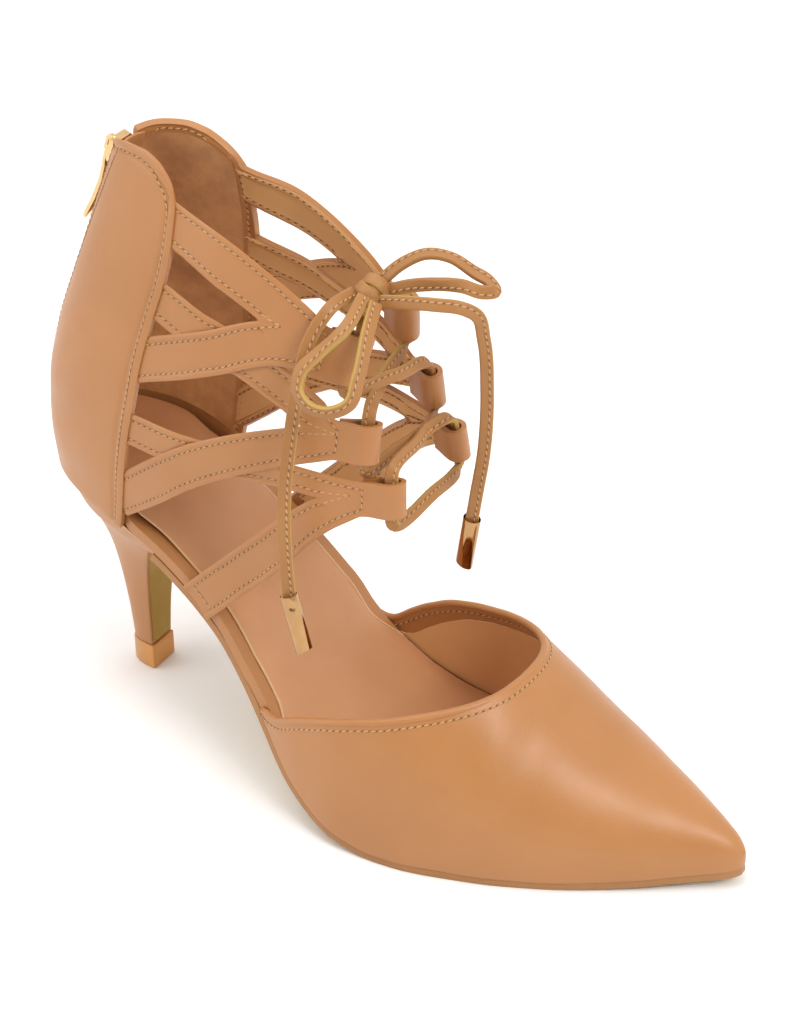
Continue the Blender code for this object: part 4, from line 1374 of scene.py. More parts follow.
def quarter_line(side, stations):
    """Points and normals at (share, rise) stations."""
    found = [quarter_normal(share, rise, side) for share, rise in stations]
    return np.array([f[0] for f in found]), np.array([f[1] for f in found])


quarter_lines = []
for side in SIDES:
    front = quarter_line(side, [(1.0, r) for r in np.linspace(0.0, 1.0, LINE_POINTS)])
    collar = quarter_line(side, [(s, 1.0) for s in np.linspace(1.0, 0.0, LINE_POINTS)])
    zip_edge = quarter_line(side, [(0.0, r) for r in np.linspace(ZIP_SLOT_FOOT, 1.0, LINE_POINTS)])
    rim_points = np.concatenate([front[0], collar[0][1:]])
    rim_normals = np.concatenate([front[1], collar[1][1:]])
    rim_points, rim_normals = evenly(rim_points, FOLD_STEP, rim_normals)
    line, out = beside(rim_points, rim_normals, FOLD_SEAM, quarter_tree)
    quarter_lines.append((line, out))
    line, out = line[2:-2], out[2:-2]
    quarter_lines.append((line - out * (QUARTER_WALL + SEAM_PROUD), -out))
    for inset in ZIP_SEAMS:
        quarter_lines.append(beside(*zip_edge, inset, quarter_tree))
sew("quarter", quarter_lines, "leather_upper")

# %% [markdown]
# The inside of the quarter is brushed brown microfibre, set back from the tan turned edge. Its nap shows
# lighter and darker patches where fingers have stroked it, which the material paints. Hair particles could
# make a nap, but this one is too short to see as hairs.

# %% Quarter: lining
# shares of the way from the zip to the front edge, and from the sole to the collar
NAP_ZIP, NAP_FRONT, NAP_FOOT, NAP_TOP = 0.06, 0.955, 0.09, 0.978
NAP_CLEAR, NAP_THICK = 0.06, 0.3


def quarter_lining(side):
    def place(u, v):
        share = NAP_ZIP + (NAP_FRONT - NAP_ZIP) * u
        rise = NAP_FOOT + (NAP_TOP - NAP_FOOT) * v
        point, normal = quarter_normal(share, rise, side)
        return point - normal * (QUARTER_WALL + NAP_CLEAR)

    return lay_grid("quarter_lining_half", 26, 44, place)


for side, label in SIDES.items():
    nap = quarter_lining(side)
    nap.name = f"quarter_lining_{label}"
    face_away(nap, (-105, -side * 300, 120))
    apply(nap, "SOLIDIFY", thickness=NAP_THICK * MM, offset=-1)
    dress(nap, NAP_BROWN, "leather_upper")

# %% [markdown]
# The zip's tape is a woven band that fills the slot down the back. A bent plane would do on a straight
# back. This one curves both ways, so a narrow grid is laid on the ankle form, a little inside the leather.

# %% Zip: tape
TAPE_HALF, TAPE_DEEP, TAPE_THICK, TAPE_TOP = 4.1, 0.5, 1.4, 171.2


def tape_place(u, v):
    y, z = TAPE_HALF * (2 * u - 1), slot_foot + GAP + (TAPE_TOP - slot_foot - GAP) * v
    return (back_of(y, z) + TAPE_DEEP, y, z)


tape = lay_grid("zip_tape_woven", 8, 48, tape_place)
face_away(tape, (300, 0, 130))
thicken(tape, TAPE_THICK, 0.2, 2)
dress(tape, ZIP_CLOTH, "zip_fabric", "zip_tape")

# %% [markdown]
# Two rows of teeth interlock along the tape. An Array on a curve could repeat a tooth, but the copies would
# lean with the curve. One tooth is made from a cube by bevelling it, and its copies climb the back, left
# and right in turn, each square to the tape.

# %% Zip: teeth
TOOTH_PITCH, TOOTH_OUT, TOOTH_SIDE = 1.5, -0.35, 0.75
TOOTH_SIZE, TOOTH_ROUND = (0.9, 2.5, 1.0), 0.28
ZIP_FROM, ZIP_TOP = 1.2, 171.0

bpy.ops.mesh.primitive_cube_add(size=1)
tooth = bpy.context.object
edit(tooth)
bpy.ops.transform.resize(value=TOOTH_SIZE, center_override=(0, 0, 0))
bpy.ops.mesh.bevel(offset=TOOTH_ROUND, segments=2, affect="EDGES")
leave_edit()
TOOTH_CORNERS = np.array([v.co for v in tooth.data.vertices])
TOOTH_FACES = [tuple(f.vertices) for f in tooth.data.polygons]
bpy.data.objects.remove(tooth)

zip_foot = slot_foot + ZIP_FROM
back_line = evenly([(back_of(0, z), 0, z) for z in np.linspace(zip_foot, ZIP_TOP, 60)], TOOTH_PITCH / 2)
climb = unit(np.gradient(back_line, axis=0))
tooth_frames = []
for number, (point, up) in enumerate(zip(back_line, climb)):
    side = LATERAL if number % 2 else MEDIAL
    out = np.cross(up, (0.0, 1.0, 0.0))
    out = out if out[0] < 0 else -out
    place = point + np.array((0, side * TOOTH_SIDE, 0)) + out * TOOTH_OUT
    tooth_frames.append((place, up, np.array((0, 1.0, 0)), out))
dress(copies("zip_teeth", TOOTH_CORNERS, TOOTH_FACES, tooth_frames), ZIP_TEETH, "zip_fabric", angle=35)

# %% [markdown]
# The slider and its pull are gold castings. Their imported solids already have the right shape, so each is
# copied, welded, and given rounded edges that catch the light. The pull rides on its own body, because it
# swings.

# %% Zip: slider and pull
def copy_solid(node, name, soften):
    """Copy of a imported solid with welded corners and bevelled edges."""
    piece = bpy.data.objects.new(name, frame["nodes"][node].data.copy())
    bpy.context.scene.collection.objects.link(piece)
    edit(piece)
    bpy.ops.mesh.remove_doubles(threshold=0.001 * MM)
    bpy.ops.mesh.dissolve_limited(angle_limit=math.radians(1))
    bpy.ops.mesh.customdata_custom_splitnormals_clear()
    leave_edit()
    round_edges(piece, soften, 35)
    return piece


dress(copy_solid("zip_slider", "zip_slider_gold", 0.22), ZIP_GOLD, "zip_metal", "zip_slider")
dress(copy_solid("zip_pull", "zip_pull_gold", 0.28), ZIP_GOLD, "zip_metal", "zip_pull", body="pull")

# %% [markdown]
# Behind the zip a soft leather flap keeps the teeth off the skin, and its upper end shows beside the
# slider. It is laid like the tape, wider and further in, so that the two never touch.

# %% Zip: guard flap
GUARD_DEEP, GUARD_WIDE, GUARD_SHIFT, GUARD_THICK = 3.6, 13.0, -1.5, 0.9
GUARD_FOOT, GUARD_LONG = 85.0, 95.6


def guard_place(u, v):
    y, z = GUARD_SHIFT + GUARD_WIDE * (u - 0.5), GUARD_FOOT + GUARD_LONG * v
    return (back_of(y, z) + GUARD_DEEP, y, z)


guard = lay_grid("zip_guard_flap", 8, 48, guard_place)
face_away(guard, (-300, 0, 140))
thicken(guard, GUARD_THICK, 0.3, 2)
dress(guard, UPPER_TAN, "leather_upper")

# %% [markdown]
# There are three forked straps a side. Two arms run together into a tab, and the tab folds back on itself
# as a loop for the lace. They could be cut from a sheet and draped, but their edges would wander. So the
# pattern is drawn flat, as a middle line and a width for each arm, and then laid on the ankle form.

# %% Straps: pattern
STRAP_THICK, TAB_LIFT = 1.5, 0.4
TUCK_LONG, TUCKED, TUCK_EASE = 5.5, -0.5, 18.0
RAND_PULL, RAND_REACH = 2.0, 16.0
# x, z, width, lift off the ankle form: middle line of each strap, from quarter or sole to loop
STRAPS = {
    "A": [(-89.9, 167, 12.4, 0.0), (-77, 163, 13.4, 0.0), (-60, 155, 12.4, 0.0), (-47, 146, 12.0, 0.0)],
    "C": [(-98.2, 128, 12.4, 0.2), (-76, 136.6, 12.4, 0.2), (-58, 143.6, 12.4, 0.2), (-46, 144, 12.0, 0.2)],
    "B": [
        (-93.8, 145.4, 11.4, 0.0), (-83, 142, 11.4, -0.4), (-70, 138.4, 11.0, -0.9),
        (-52, 130.6, 10.0, -0.2), (-39, 121.6, 9.0, 0.0),
    ],
    "E": [(-106.4, 82, 12.4, 0.2), (-79, 102.6, 12.4, 0.2), (-53, 115.0, 11.0, 0.2), (-38, 119.6, 10.0, 0.2)],
    "D": [
        (-102.8, 105, 10.6, 0.0), (-92, 104.8, 10.6, -0.4), (-75, 105.2, 9.4, -0.9),
        (-50, 106.4, 8.0, -0.2), (-33, 104.8, 8.0, 0.0),
    ],
    "F": [(-82.3, 53.7, 12.0, 0.2), (-59, 78.2, 12.0, 0.2), (-41, 97, 10.0, 0.2), (-32, 103.2, 9.4, 0.2)],
}
# x, z, width where the tab starts, then at its end: doubled tab that ends in a lace loop
TABS = {
    "1": [(-50, 144.0, 13.4), (-37.0, 141.8, 13.4)],
    "2": [(-41, 119.6, 10.8), (-31.0, 119.6, 10.8)],
    "3": [(-35, 103.4, 10.0), (-23.0, 104.4, 10.0)],
}
# upper strap, lower strap, tab
FORKS = {"top": ("A", "C", "1"), "middle": ("B", "E", "2"), "low": ("D", "F", "3")}
# along the tab from the lace's line, off the ankle form: how the tab's end folds round the lace
FOLD = [
    (-5.6, 2.2), (-3.6, 3.3), (-1.6, 4.3), (0.6, 4.6), (2.6, 3.7), (3.7, 1.9), (3.7, 0.0), (2.5, -1.7),
    (0.4, -2.3), (-2.2, -2.1), (-4.8, -1.6), (-7.4, -1.3),
]
FOLD_FROM = 7.6
print("straps:", len(STRAPS), "arms a side run into", len(TABS), "tabs")

# %% [markdown]
# These helpers lay the flat pattern on the ankle form. A Shrinkwrap modifier could do that too, but a strap
# also has to stand off the form by its lift, so each point is moved out along the form's own normal.

# %% Straps: pattern laid on the ankle
def on_ankle(x, z, lift):
    """Point on the lateral side of the ankle form at x and z, moved out along its normal by lift."""
    y = half_width(x, z)
    along = (half_width(x + 0.2, z) - half_width(x - 0.2, z)) / 0.4
    up = (half_width(x, z + 0.2) - half_width(x, z - 0.2)) / 0.4
    normal = np.array([-along, LATERAL, -up]) / math.sqrt(along**2 + 1 + up**2)
    return np.array([x, LATERAL * y, z]) + lift * normal


def strap_lines(name, count=80):
    """Upper edge, lower edge (x, z) and lift along a strap, from where it is tucked under the quarter."""
    rows = [np.array(row) for row in STRAPS[name]]
    if name != "F":
        back = rows[0][:2] - rows[1][:2]
        rows.insert(0, np.array((*(rows[0][:2] + TUCK_LONG * unit(back)), *rows[0][2:])))
    line = path([(x, z, 0.0, width, lift) for x, z, width, lift in rows], count)
    run = unit(np.gradient(line[:, :2], axis=0))
    across = np.stack([-run[:, 1], run[:, 0]], 1)
    half = line[:, 3:4] / 2
    return line[:, :2] + across * half, line[:, :2] - across * half, line[:, 4]


def tab_corner(tab, along, across):
    """(x, z) on a tab: along from the lace's line towards it, across from its middle."""
    (x0, z0, _), (x1, z1, _) = TABS[tab]
    run = np.array((x1 - x0, z1 - z0)) / math.hypot(x1 - x0, z1 - z0)
    return np.array((x1, z1)) + run * along + np.array((-run[1], run[0])) * across


def on_tab(tab, along, across, lift):
    """Point on a tab: level with the ankle form where its fold starts, then straight on to its end."""
    base, ahead = (on_ankle(*tab_corner(tab, far, 0.0), 0.0) for far in (-FOLD_FROM, 0.0))
    middle = tab_corner(tab, -FOLD_FROM / 2, 0.0)
    out = on_ankle(*middle, 1.0) - on_ankle(*middle, 0.0)
    start = on_ankle(*tab_corner(tab, -FOLD_FROM, across), 0.0)
    return start + (ahead - base) * (along + FOLD_FROM) / FOLD_FROM + lift * out


print("pattern: its back lies at", on_ankle(*STRAPS["A"][0][:2], 0.0).round(1), "mm")

# %% [markdown]
# Where two arms meet, their inner edges end in a notch, and from there on they share a middle line. These
# helpers find the notch on the flat pattern and give the outer and inner edge of each arm, row by row. A
# Boolean union of two straps would leave a crease there and no clean rows to sew along.

# %% Straps: rows of a fork
ARM_ROWS, JOIN_ROWS, END_ROW = 34, 22, 2
NOTCH_FROM, NOTCH_LIFT = -88.0, 0.1
# clear of the tab, then the first and about how many of an arm's points that steer its outer edge
JOIN_CLEAR, JOIN_FIRST, JOIN_POINTS = 5.5, 6, 3


def resample(points, count):
    points = np.array(points, float)
    along = far_along(points)
    at = np.linspace(0, along[-1], count)
    return np.stack([np.interp(at, along, points[:, k]) for k in range(points.shape[1])], 1)


def smooth_line(points, count):
    """Evenly spread points on a smooth line through a few."""
    flat = np.array(points, float)
    return path(np.column_stack([flat, np.zeros(len(flat))]), count)[:, :2]


def fork_arm(arm, other, tab, upper):
    """Edges and lift of one arm, where its inner edge meets the other arm, and how it goes on to the tab."""
    top, low, lift = strap_lines(arm)
    outer, inner = (top, low) if upper else (low, top)
    facing = strap_lines(other)[0 if upper else 1]
    heights = np.interp(inner[:, 0], facing[:, 0], facing[:, 1])
    meets = (inner[:, 1] <= heights) if upper else (inner[:, 1] >= heights)
    meets &= inner[:, 0] > NOTCH_FROM
    at = int(np.argmax(meets))
    notch = np.array((inner[at, 0], (inner[at, 1] + heights[at]) / 2))
    half = TABS[tab][1][2] / 2 * (1 if upper else -1)
    end_outer, end_inner = tab_corner(tab, -FOLD_FROM, half), tab_corner(tab, -FOLD_FROM, 0)
    before = [p for p in outer[at:] if p[0] < end_outer[0] - JOIN_CLEAR]
    picked = [outer[at]] + before[JOIN_FIRST :: max(1, len(before) // JOIN_POINTS)] + [end_outer]
    outer_join = smooth_line(picked, JOIN_ROWS)
    return outer, inner, lift, at, notch, outer_join, end_inner


def fork_rows(arm, other, tab, upper, notch):
    """Rows of (outer edge, inner edge, outer lift, inner lift) of one arm of a fork."""
    outer, inner, lift, at, _, outer_join, end_inner = fork_arm(arm, other, tab, upper)
    arm_outer = resample(outer[: at + 1], ARM_ROWS)
    arm_inner = resample(np.vstack([inner[:at], notch]), ARM_ROWS)
    arm_lift = np.interp(np.linspace(0, at, ARM_ROWS), np.arange(len(lift)), lift)
    middle = resample([notch, end_inner], JOIN_ROWS)
    join_lift = np.linspace(arm_lift[-1], TAB_LIFT, JOIN_ROWS)
    centre_lift = np.linspace(NOTCH_LIFT, TAB_LIFT, JOIN_ROWS)
    rows = [(o, i, a, a) for o, i, a in zip(arm_outer, arm_inner, arm_lift)]
    rows[-1] = (arm_outer[-1], notch, arm_lift[-1], NOTCH_LIFT)
    rows += [(o, i, a, c) for o, i, a, c in zip(outer_join[1:], middle[1:], join_lift[1:], centre_lift[1:])]
    return rows


print("rows:", ARM_ROWS, "along an arm,", JOIN_ROWS, "along the joined part")

# %% [markdown]
# Across an arm the grid's columns crowd at its folded edges, as on the quarter. The arm starts tucked into
# the quarter's wall and rises clear of it. The last rows roll over into the lace loop, so the fold is the
# same sheet of leather and no seam has to be hidden.

# %% Straps: grid of one arm
# from the folded edge inwards, and how the fold and its seam shape the leather there
STRAP_STEPS = (0.0, 0.5, 1.1, 1.6, 2.05, 2.6)
STRAP_SHAPE = (-0.2, 0.12, 0.16, -0.06, -0.28, 0.0)
STRAP_MIDDLE = 2
# rows over which the folded inner edge ends behind the notch, and the sewn shape ends before the fold
JOIN_BLEND, FOLD_BLEND = 3, 4
STRAP_COLUMNS = 2 * len(STRAP_STEPS) + STRAP_MIDDLE - 1


def strap_lift(x, z, lift, side):
    """Outer face of a strap off the ankle form: tucked into the quarter, and pulled onto the insole."""
    clear = min(max((x - front_edge(z, side)) / TUCK_EASE, 0), 1)
    from_end = math.hypot(x - STRAPS["F"][0][0], z - STRAPS["F"][0][1])
    pulled = RAND_PULL * max(1 - from_end / RAND_REACH, 0) ** 2
    return TUCKED + (lift + STRAP_THICK - TUCKED) * clear**2 * (3 - 2 * clear) - pulled


def arm_layout(wide):
    """Places across an arm and their shape: a folded edge on both sides."""
    middle = [wide * (k + 1) / (STRAP_MIDDLE + 1) for k in range(STRAP_MIDDLE)]
    places = [*STRAP_STEPS, *middle, *(wide - step for step in STRAP_STEPS[::-1])]
    return np.array(places), np.array((*STRAP_SHAPE, *[0.0] * STRAP_MIDDLE, *STRAP_SHAPE[::-1]))


def joined_layout(wide):
    """Places across one half of the joined part: a folded edge on its outer side only."""
    scale = min(1.0, wide / (2 * STRAP_STEPS[-1]))
    rest = STRAP_COLUMNS + 1 - len(STRAP_STEPS)
    start = STRAP_STEPS[-1] * scale
    inner = [start + (wide - start) * (k + 1) / rest for k in range(rest)]
    return np.array((*[s * scale for s in STRAP_STEPS], *inner)), np.array((*STRAP_SHAPE, *[0.0] * rest))


def arm_spot(rows, row, column, side, inset=0.0, depth=0.0):
    """Point on an arm's outer face, or depth behind it and no nearer than inset to its edges."""
    joined = min(max((row - ARM_ROWS + 1) / JOIN_BLEND, 0.0), 1.0)
    sewn = min(max((len(rows) - 1 - row) / FOLD_BLEND, 0.0), 1.0)
    outer, inner, outer_lift, inner_lift = rows[row]
    wide = float(np.linalg.norm(inner - outer))
    apart, together = arm_layout(wide), joined_layout(wide)
    places, shapes = ((1 - joined) * a + joined * b for a, b in zip(apart, together))
    share = min(max(places[column], inset), wide - inset * (1 - joined)) / wide
    x, z = outer + (inner - outer) * share
    lift = strap_lift(x, z, outer_lift + (inner_lift - outer_lift) * share, side)
    return on_ankle(x, z, lift + sewn * shapes[column] - depth)


def fork_half(rows, tab, upper, side):
    """Grid of one arm: rows along it, then the rows of the fold."""
    half = TABS[tab][1][2] / 2 * (1 if upper else -1)
    count = len(rows) + len(FOLD)

    def place(u, v):
        row, column = round(u * (count - 1)), round(v * STRAP_COLUMNS)
        if row < len(rows):
            return arm_spot(rows, row, column, side)
        along, off = FOLD[row - len(rows)]
        return on_tab(tab, along, half * (1 - joined_layout(abs(half))[0][column] / abs(half)), off)

    return lay_grid("fork_half", count - 1, STRAP_COLUMNS, place)


print("across an arm:", STRAP_COLUMNS, "columns")

# %% [markdown]
# Each fork is two such grids welded along their middle line, thickened, and smoothed by one subdivision.
# The inner side's forks are laid on the outer side and turned over, so that both sides come from one
# pattern.

# %% Straps: leather
STRAP_WALL, STRAP_RIM, ARM_WELD = STRAP_THICK - 0.1, 0.4, 0.08


def to_side(piece, side):
    """Turn a piece that was laid on the outer side over to the inner side."""
    if side > 0:
        for corner in piece.data.vertices:
            corner.co.y = -corner.co.y
    return piece


def fork_piece(label, side):
    upper, lower, tab = FORKS[label]
    notch_upper = fork_arm(upper, lower, tab, True)[4]
    notch_lower = fork_arm(lower, upper, tab, False)[4]
    notch = (notch_upper + notch_lower) / 2
    upper_rows = fork_rows(upper, lower, tab, True, notch)
    lower_rows = fork_rows(lower, upper, tab, False, notch)
    halves = [fork_half(upper_rows, tab, True, side), fork_half(lower_rows, tab, False, side)]
    piece = merge(halves, ARM_WELD)
    return to_side(piece, side), upper_rows, lower_rows


def face_along(piece, side):
    """Turn a strap's faces outwards: most of them look away from the foot."""
    outward = sum(f.normal.y * side * f.area for f in piece.data.polygons)
    if outward < 0:
        flip(piece)


fork_patterns, strap_pieces = {}, {}
for side, label in SIDES.items():
    for fork in FORKS:
        piece, upper_rows, lower_rows = fork_piece(fork, side)
        piece.name = f"strap_{label}_{fork}"
        face_along(piece, side)
        thicken(piece, STRAP_WALL, STRAP_RIM)
        apply(piece, "SUBSURF", levels=1, render_levels=1)
        node = [f"straps_{label}"] if fork == "low" else []
        dress(piece, UPPER_TAN, "leather_upper", *node)
        fork_patterns[fork] = (upper_rows, lower_rows)
        strap_pieces[label, fork] = piece

# %% [markdown]
# Behind, each strap is lined with thin beige leather that stops just short of its edges and of the fold. A
# second material on the strap's own inner faces could show it, but a sheet of its own has a real edge there.
# The same rows are used again, one strap's thickness further in, and a little more at the notch, where the
# leather of the two arms is pressed together and stands up.

# %% Straps: lining
BACKING_INSET, BACKING_DEPTH, BACKING_RISE, BACKING_THICK = 0.7, 1.05, 0.25, 0.42


def strap_backing(fork, side):
    """Thin sheet behind the two arms of a fork."""
    halves = []
    for rows in fork_patterns[fork]:
        count = len(rows) - 1 - END_ROW

        def place(u, v):
            row, column = END_ROW + round(u * count), round(v * STRAP_COLUMNS)
            depth = BACKING_DEPTH + BACKING_RISE * min(row / ARM_ROWS, 1.0)
            return arm_spot(rows, row, column, side, BACKING_INSET, depth)

        halves.append(lay_grid("backing_half", count, STRAP_COLUMNS, place))
    return to_side(merge(halves, ARM_WELD), side)


strap_linings = {}
for side, label in SIDES.items():
    for fork in FORKS:
        piece = strap_backing(fork, side)
        piece.name = f"strap_lining_{label}_{fork}"
        face_along(piece, side)
        apply(piece, "SOLIDIFY", thickness=BACKING_THICK * MM, offset=-1)
        dress(piece, STRAP_BEIGE, "leather_upper")
        strap_linings[label, fork] = piece

# %% [markdown]
# Each strap is sewn along both edges, the two inner rows meet in a point behind the fork, and a row crosses
# the tab where the fold is held. Rows drawn straight onto the leather could drift from its edges, so they
# are worked out on the flat pattern and lifted onto the leather. The thread shows on the lining too.

# %% Straps: seams
STRAP_SEAM, CROSS_SEAM, SEAM_ABOVE = 2.05, 0.4, 0.4
# behind the leather: where the search for the lining starts, and how near the lining has to be
SEAM_FROM, SEAM_REACH = 2.4, 1.1
# rows before the notch that give the way to the point of the inner seams, and how far on it lies
POINT_ROWS, POINT_REACH = 6, 0.9
CROSS_POINTS, FOOT_POINTS = 9, 7


def strap_seams(fork, side):
    upper_rows, lower_rows = fork_patterns[fork]
    place = (SIDES[side], fork)
    lines, tree, lining = [], tree_of(strap_pieces[place]), tree_of(strap_linings[place])
    kept = {}
    for label, rows in (("upper", upper_rows), ("lower", lower_rows)):
        outer = [o + unit(i - o) * STRAP_SEAM for o, i, _, _ in rows]
        inner = [i + unit(o - i) * STRAP_SEAM for o, i, _, _ in rows[:ARM_ROWS]]
        lifts = [a for _, _, a, _ in rows]
        first = END_ROW if fork == "low" and label == "lower" else 0
        kept[label] = (outer[first:], inner[first:], lifts[first:])
    tip = (kept["upper"][1][-1] + kept["lower"][1][-1]) / 2
    before = (kept["upper"][1][-POINT_ROWS] + kept["lower"][1][-POINT_ROWS]) / 2
    tip = tip + (tip - before) * POINT_REACH
    tab = FORKS[fork][2]
    half = TABS[tab][1][2] / 2 - STRAP_SEAM
    cross = [tab_corner(tab, CROSS_SEAM - FOLD_FROM, h) for h in np.linspace(half, -half, CROSS_POINTS)]
    flat = [(kept["upper"][0], kept["upper"][2]), (kept["lower"][0], kept["lower"][2])]
    flat += [(kept[k][1] + [tip], kept[k][2]) for k in kept] + [(cross, [TAB_LIFT] * CROSS_POINTS)]
    if fork == "low":
        foot = resample([kept["lower"][0][0], kept["lower"][1][0]], FOOT_POINTS)
        flat.append((foot, [STRAPS["F"][0][3]] * FOOT_POINTS))
    for points, lifts in flat:
        spots, outs = [], []
        for (x, z), lift in zip(points, lifts):
            here = on_ankle(x, z, strap_lift(x, z, lift, side) + SEAM_ABOVE)
            here[1] *= -side
            found = tree.find_nearest(Vector(here))
            spots.append(np.array(found[0]))
            outs.append(np.array(found[1]))
        lines.append((np.array(spots), np.array(outs)))
        inside = []
        for spot, out in zip(spots, outs):
            face, _, _, away = lining.find_nearest(Vector(spot - out * SEAM_FROM))
            if away < SEAM_REACH:
                inside.append((spot - out * np.dot(spot - np.array(face), out), -out))
        lines.append(tuple(np.array(row) for row in zip(*inside)))
    return lines


for side, label in SIDES.items():
    all_lines = []
    for fork in FORKS:
        all_lines += strap_seams(fork, side)
    sew(f"strap_{label}", all_lines, "leather_upper")

# %% [markdown]
# The lace is a flat leather strip, folded and sewn along one side. A bevelled curve would twist it freely.
# Here its route comes from the loops themselves, a flat profile is swept along it, and at each point a
# direction says which way its face looks, so that it lies in the loops and turns over where it crosses.

# %% Lace: profile and route through the loops
LACE_WIDE, LACE_THICK, LACE_LEAD = 3.7, 1.6, 1.3
KNOT_AT = np.array((-39.0, 0.0, 155.4))
LACE_RISE = np.array((-0.5, 6.2, -4.4))
LACE_CROSS_OUT = np.array((1.0, 0.0, 0.55))
LACE_BAR_SAG = np.array((2.0, 0.0, -1.0))
LACE_CLEAR, LACE_UNDER = 1.95, 0.9
FACE_FRONT = np.array((0.85, 0.0, 0.53))


def lace_profile(wide=LACE_WIDE, thick=LACE_THICK, corner=0.5):
    """Flat strip with rounded corners."""
    points = []
    for sx, sy, start in ((1, 1, 0), (-1, 1, 90), (-1, -1, 180), (1, -1, 270)):
        for turn in (0, 30, 60, 90):
            a = math.radians(start + turn)
            x = sx * (wide / 2 - corner) + corner * math.cos(a)
            points.append((x, sy * (thick / 2 - corner) + corner * math.sin(a)))
    return points


def loop_axis(name, side):
    """Two ends of the middle line of a lace loop and the way out from the ankle there."""
    half = TABS[name][1][2] / 2
    low, high = (on_tab(name, 0.0, across, TAB_LIFT + STRAP_THICK / 2) for across in (-half, half))
    out = on_tab(name, 0.0, 0.0, 1.0) - on_tab(name, 0.0, 0.0, 0.0)
    turn = np.array((1, -side, 1))
    return low * turn, high * turn, out * turn


def through_loop(name, side):
    """Lace points through one loop, from below it to above it, each with the way its face looks."""
    low, high, out = loop_axis(name, side)
    lead = unit(high - low) * LACE_LEAD
    return [(p, out) for p in (low - lead, low, (low + high) / 2, high, high + lead)]


down = [through_loop(name, side)[::-1] for name, side in (("1", LATERAL), ("2", MEDIAL), ("3", LATERAL))]
up = [through_loop(name, side) for name, side in (("3", MEDIAL), ("2", LATERAL), ("1", MEDIAL))]
over = LACE_CROSS_OUT * LACE_CLEAR
route = [(KNOT_AT + LACE_RISE * (1, LATERAL, 1), FACE_FRONT)]
for loop, following in zip(down, down[1:] + up[:1]):
    reach = LACE_BAR_SAG if following is up[0] else over
    route += loop + [((loop[-1][0] + following[0][0]) / 2 + reach, FACE_FRONT)]
for loop, following in zip(up, up[1:]):
    route += loop + [((loop[-1][0] + following[0][0]) / 2 - LACE_UNDER * over, FACE_FRONT)]
route += up[-1] + [(KNOT_AT + LACE_RISE, FACE_FRONT)]
lace_line = path([(*p, *out) for p, out in route], 260)
lace = sweep("lace_through_loops", lace_line[:, :3], lace_line[:, 3:], lace_profile())
dress(lace, LACE_TAN, "leather_lace", "lace_crossings", angle=60)

# %% [markdown]
# The bow and the two ends hang free. Their routes repeat the solids' own points. A lace bends the easy way,
# over its flat side, so the face of each strip looks partly away from the middle of its loop and partly to
# the front, where the bow is seen.

# %% Lace: bow and ends
BOWS = {
    "lace_bow_lateral": [
        (-38.6, -5.2, 156.2), (-36.2, -19.0, 153.3), (-40.1, -25.0, 148.3), (-42.9, -29.0, 144.3),
        (-42.9, -31.0, 139.8), (-38.7, -32.5, 136.7), (-32.2, -32.0, 136.6), (-27.8, -29.5, 139.2),
        (-27.8, -25.0, 144.9), (-30.4, -16.6, 152.4), (-34.4, -5.8, 155.6),
    ],
    "lace_bow_medial": [
        (-37.7, 3.1, 158.0), (-33.4, 6.0, 162.5), (-27.7, 9.0, 165.6), (-21.1, 10.5, 165.6),
        (-14.4, 10.5, 163.4), (-8.7, 9.5, 162.2), (-6.2, 7.8, 161.2), (-8.5, 6.2, 160.9),
        (-14.9, 5.6, 161.2), (-23.6, 4.4, 159.8), (-31.0, 3.4, 157.4), (-35.0, 2.6, 155.6),
    ],
}
ENDS = {
    "lace_end_lateral": [
        (-42.6, -3.9, 155.6), (-43.0, -14.6, 155.9), (-45.6, -20.6, 148.6), (-46.0, -24.8, 140.7),
        (-46.0, -28.0, 131.6), (-46.1, -31.0, 119.9), (-45.8, -34.0, 108.1), (-44.5, -36.5, 92.2),
        (-42.6, -38.0, 76.8),
    ],
    "lace_end_medial": [
        (-35.2, -2.0, 154.2), (-26.7, -2.0, 156.4), (-18.7, -1.0, 157.6), (-13.1, 2.0, 156.9),
        (-10.1, 5.0, 154.2), (-9.1, 7.5, 146.0), (-8.0, 8.0, 129.8), (-8.6, 8.0, 110.2),
        (-10.5, 8.0, 96.7), (-12.0, 8.0, 86.4),
    ],
}
AGLET_TIPS = {"lace_end_lateral": (-37.4, -38.6, 60.4), "lace_end_medial": (-14.3, 8.0, 70.6)}
TO_VIEWER, BOW_TURN = np.array((0.5, -0.72, 0.48)), 0.5


def lace_outs(line, share):
    """Face directions: away from the loop's middle, mixed with the way to the viewer."""
    return unit(line - line.mean(0)) * (1 - share) + TO_VIEWER * share


free_laces = {}
for name, rows in {**BOWS, **ENDS}.items():
    line = path(rows, 110)
    outs = lace_outs(line, BOW_TURN) if name in BOWS else np.tile(TO_VIEWER, (len(line), 1))
    free_laces[name] = (sweep(f"{name}_strip", line, outs, lace_profile()), line, outs)
    dress(free_laces[name][0], LACE_TAN, "leather_lace", name, angle=60)

# %% [markdown]
# A row of stitches runs along the strip, nearer to one edge than to the other. It shows on both faces, so
# the line is offset from the lace's own line twice, once for each face, and sewn like every other seam.

# %% Lace: stitches
LACE_SEAM, LACE_PROUD = -0.6, 0.02


def lace_seam(line, outs):
    """Stitch line on both faces of a lace."""
    outs, across = square_to(line, outs)
    half = LACE_THICK / 2
    spot = line + across * LACE_SEAM
    return [(spot + outs * half, outs), (spot - outs * half, -outs)]


lace_lines = lace_seam(lace_line[:, :3], lace_line[:, 3:])
for piece, line, outs in free_laces.values():
    lace_lines += lace_seam(line, outs)
sew("lace", lace_lines, "leather_lace", LACE_PROUD)

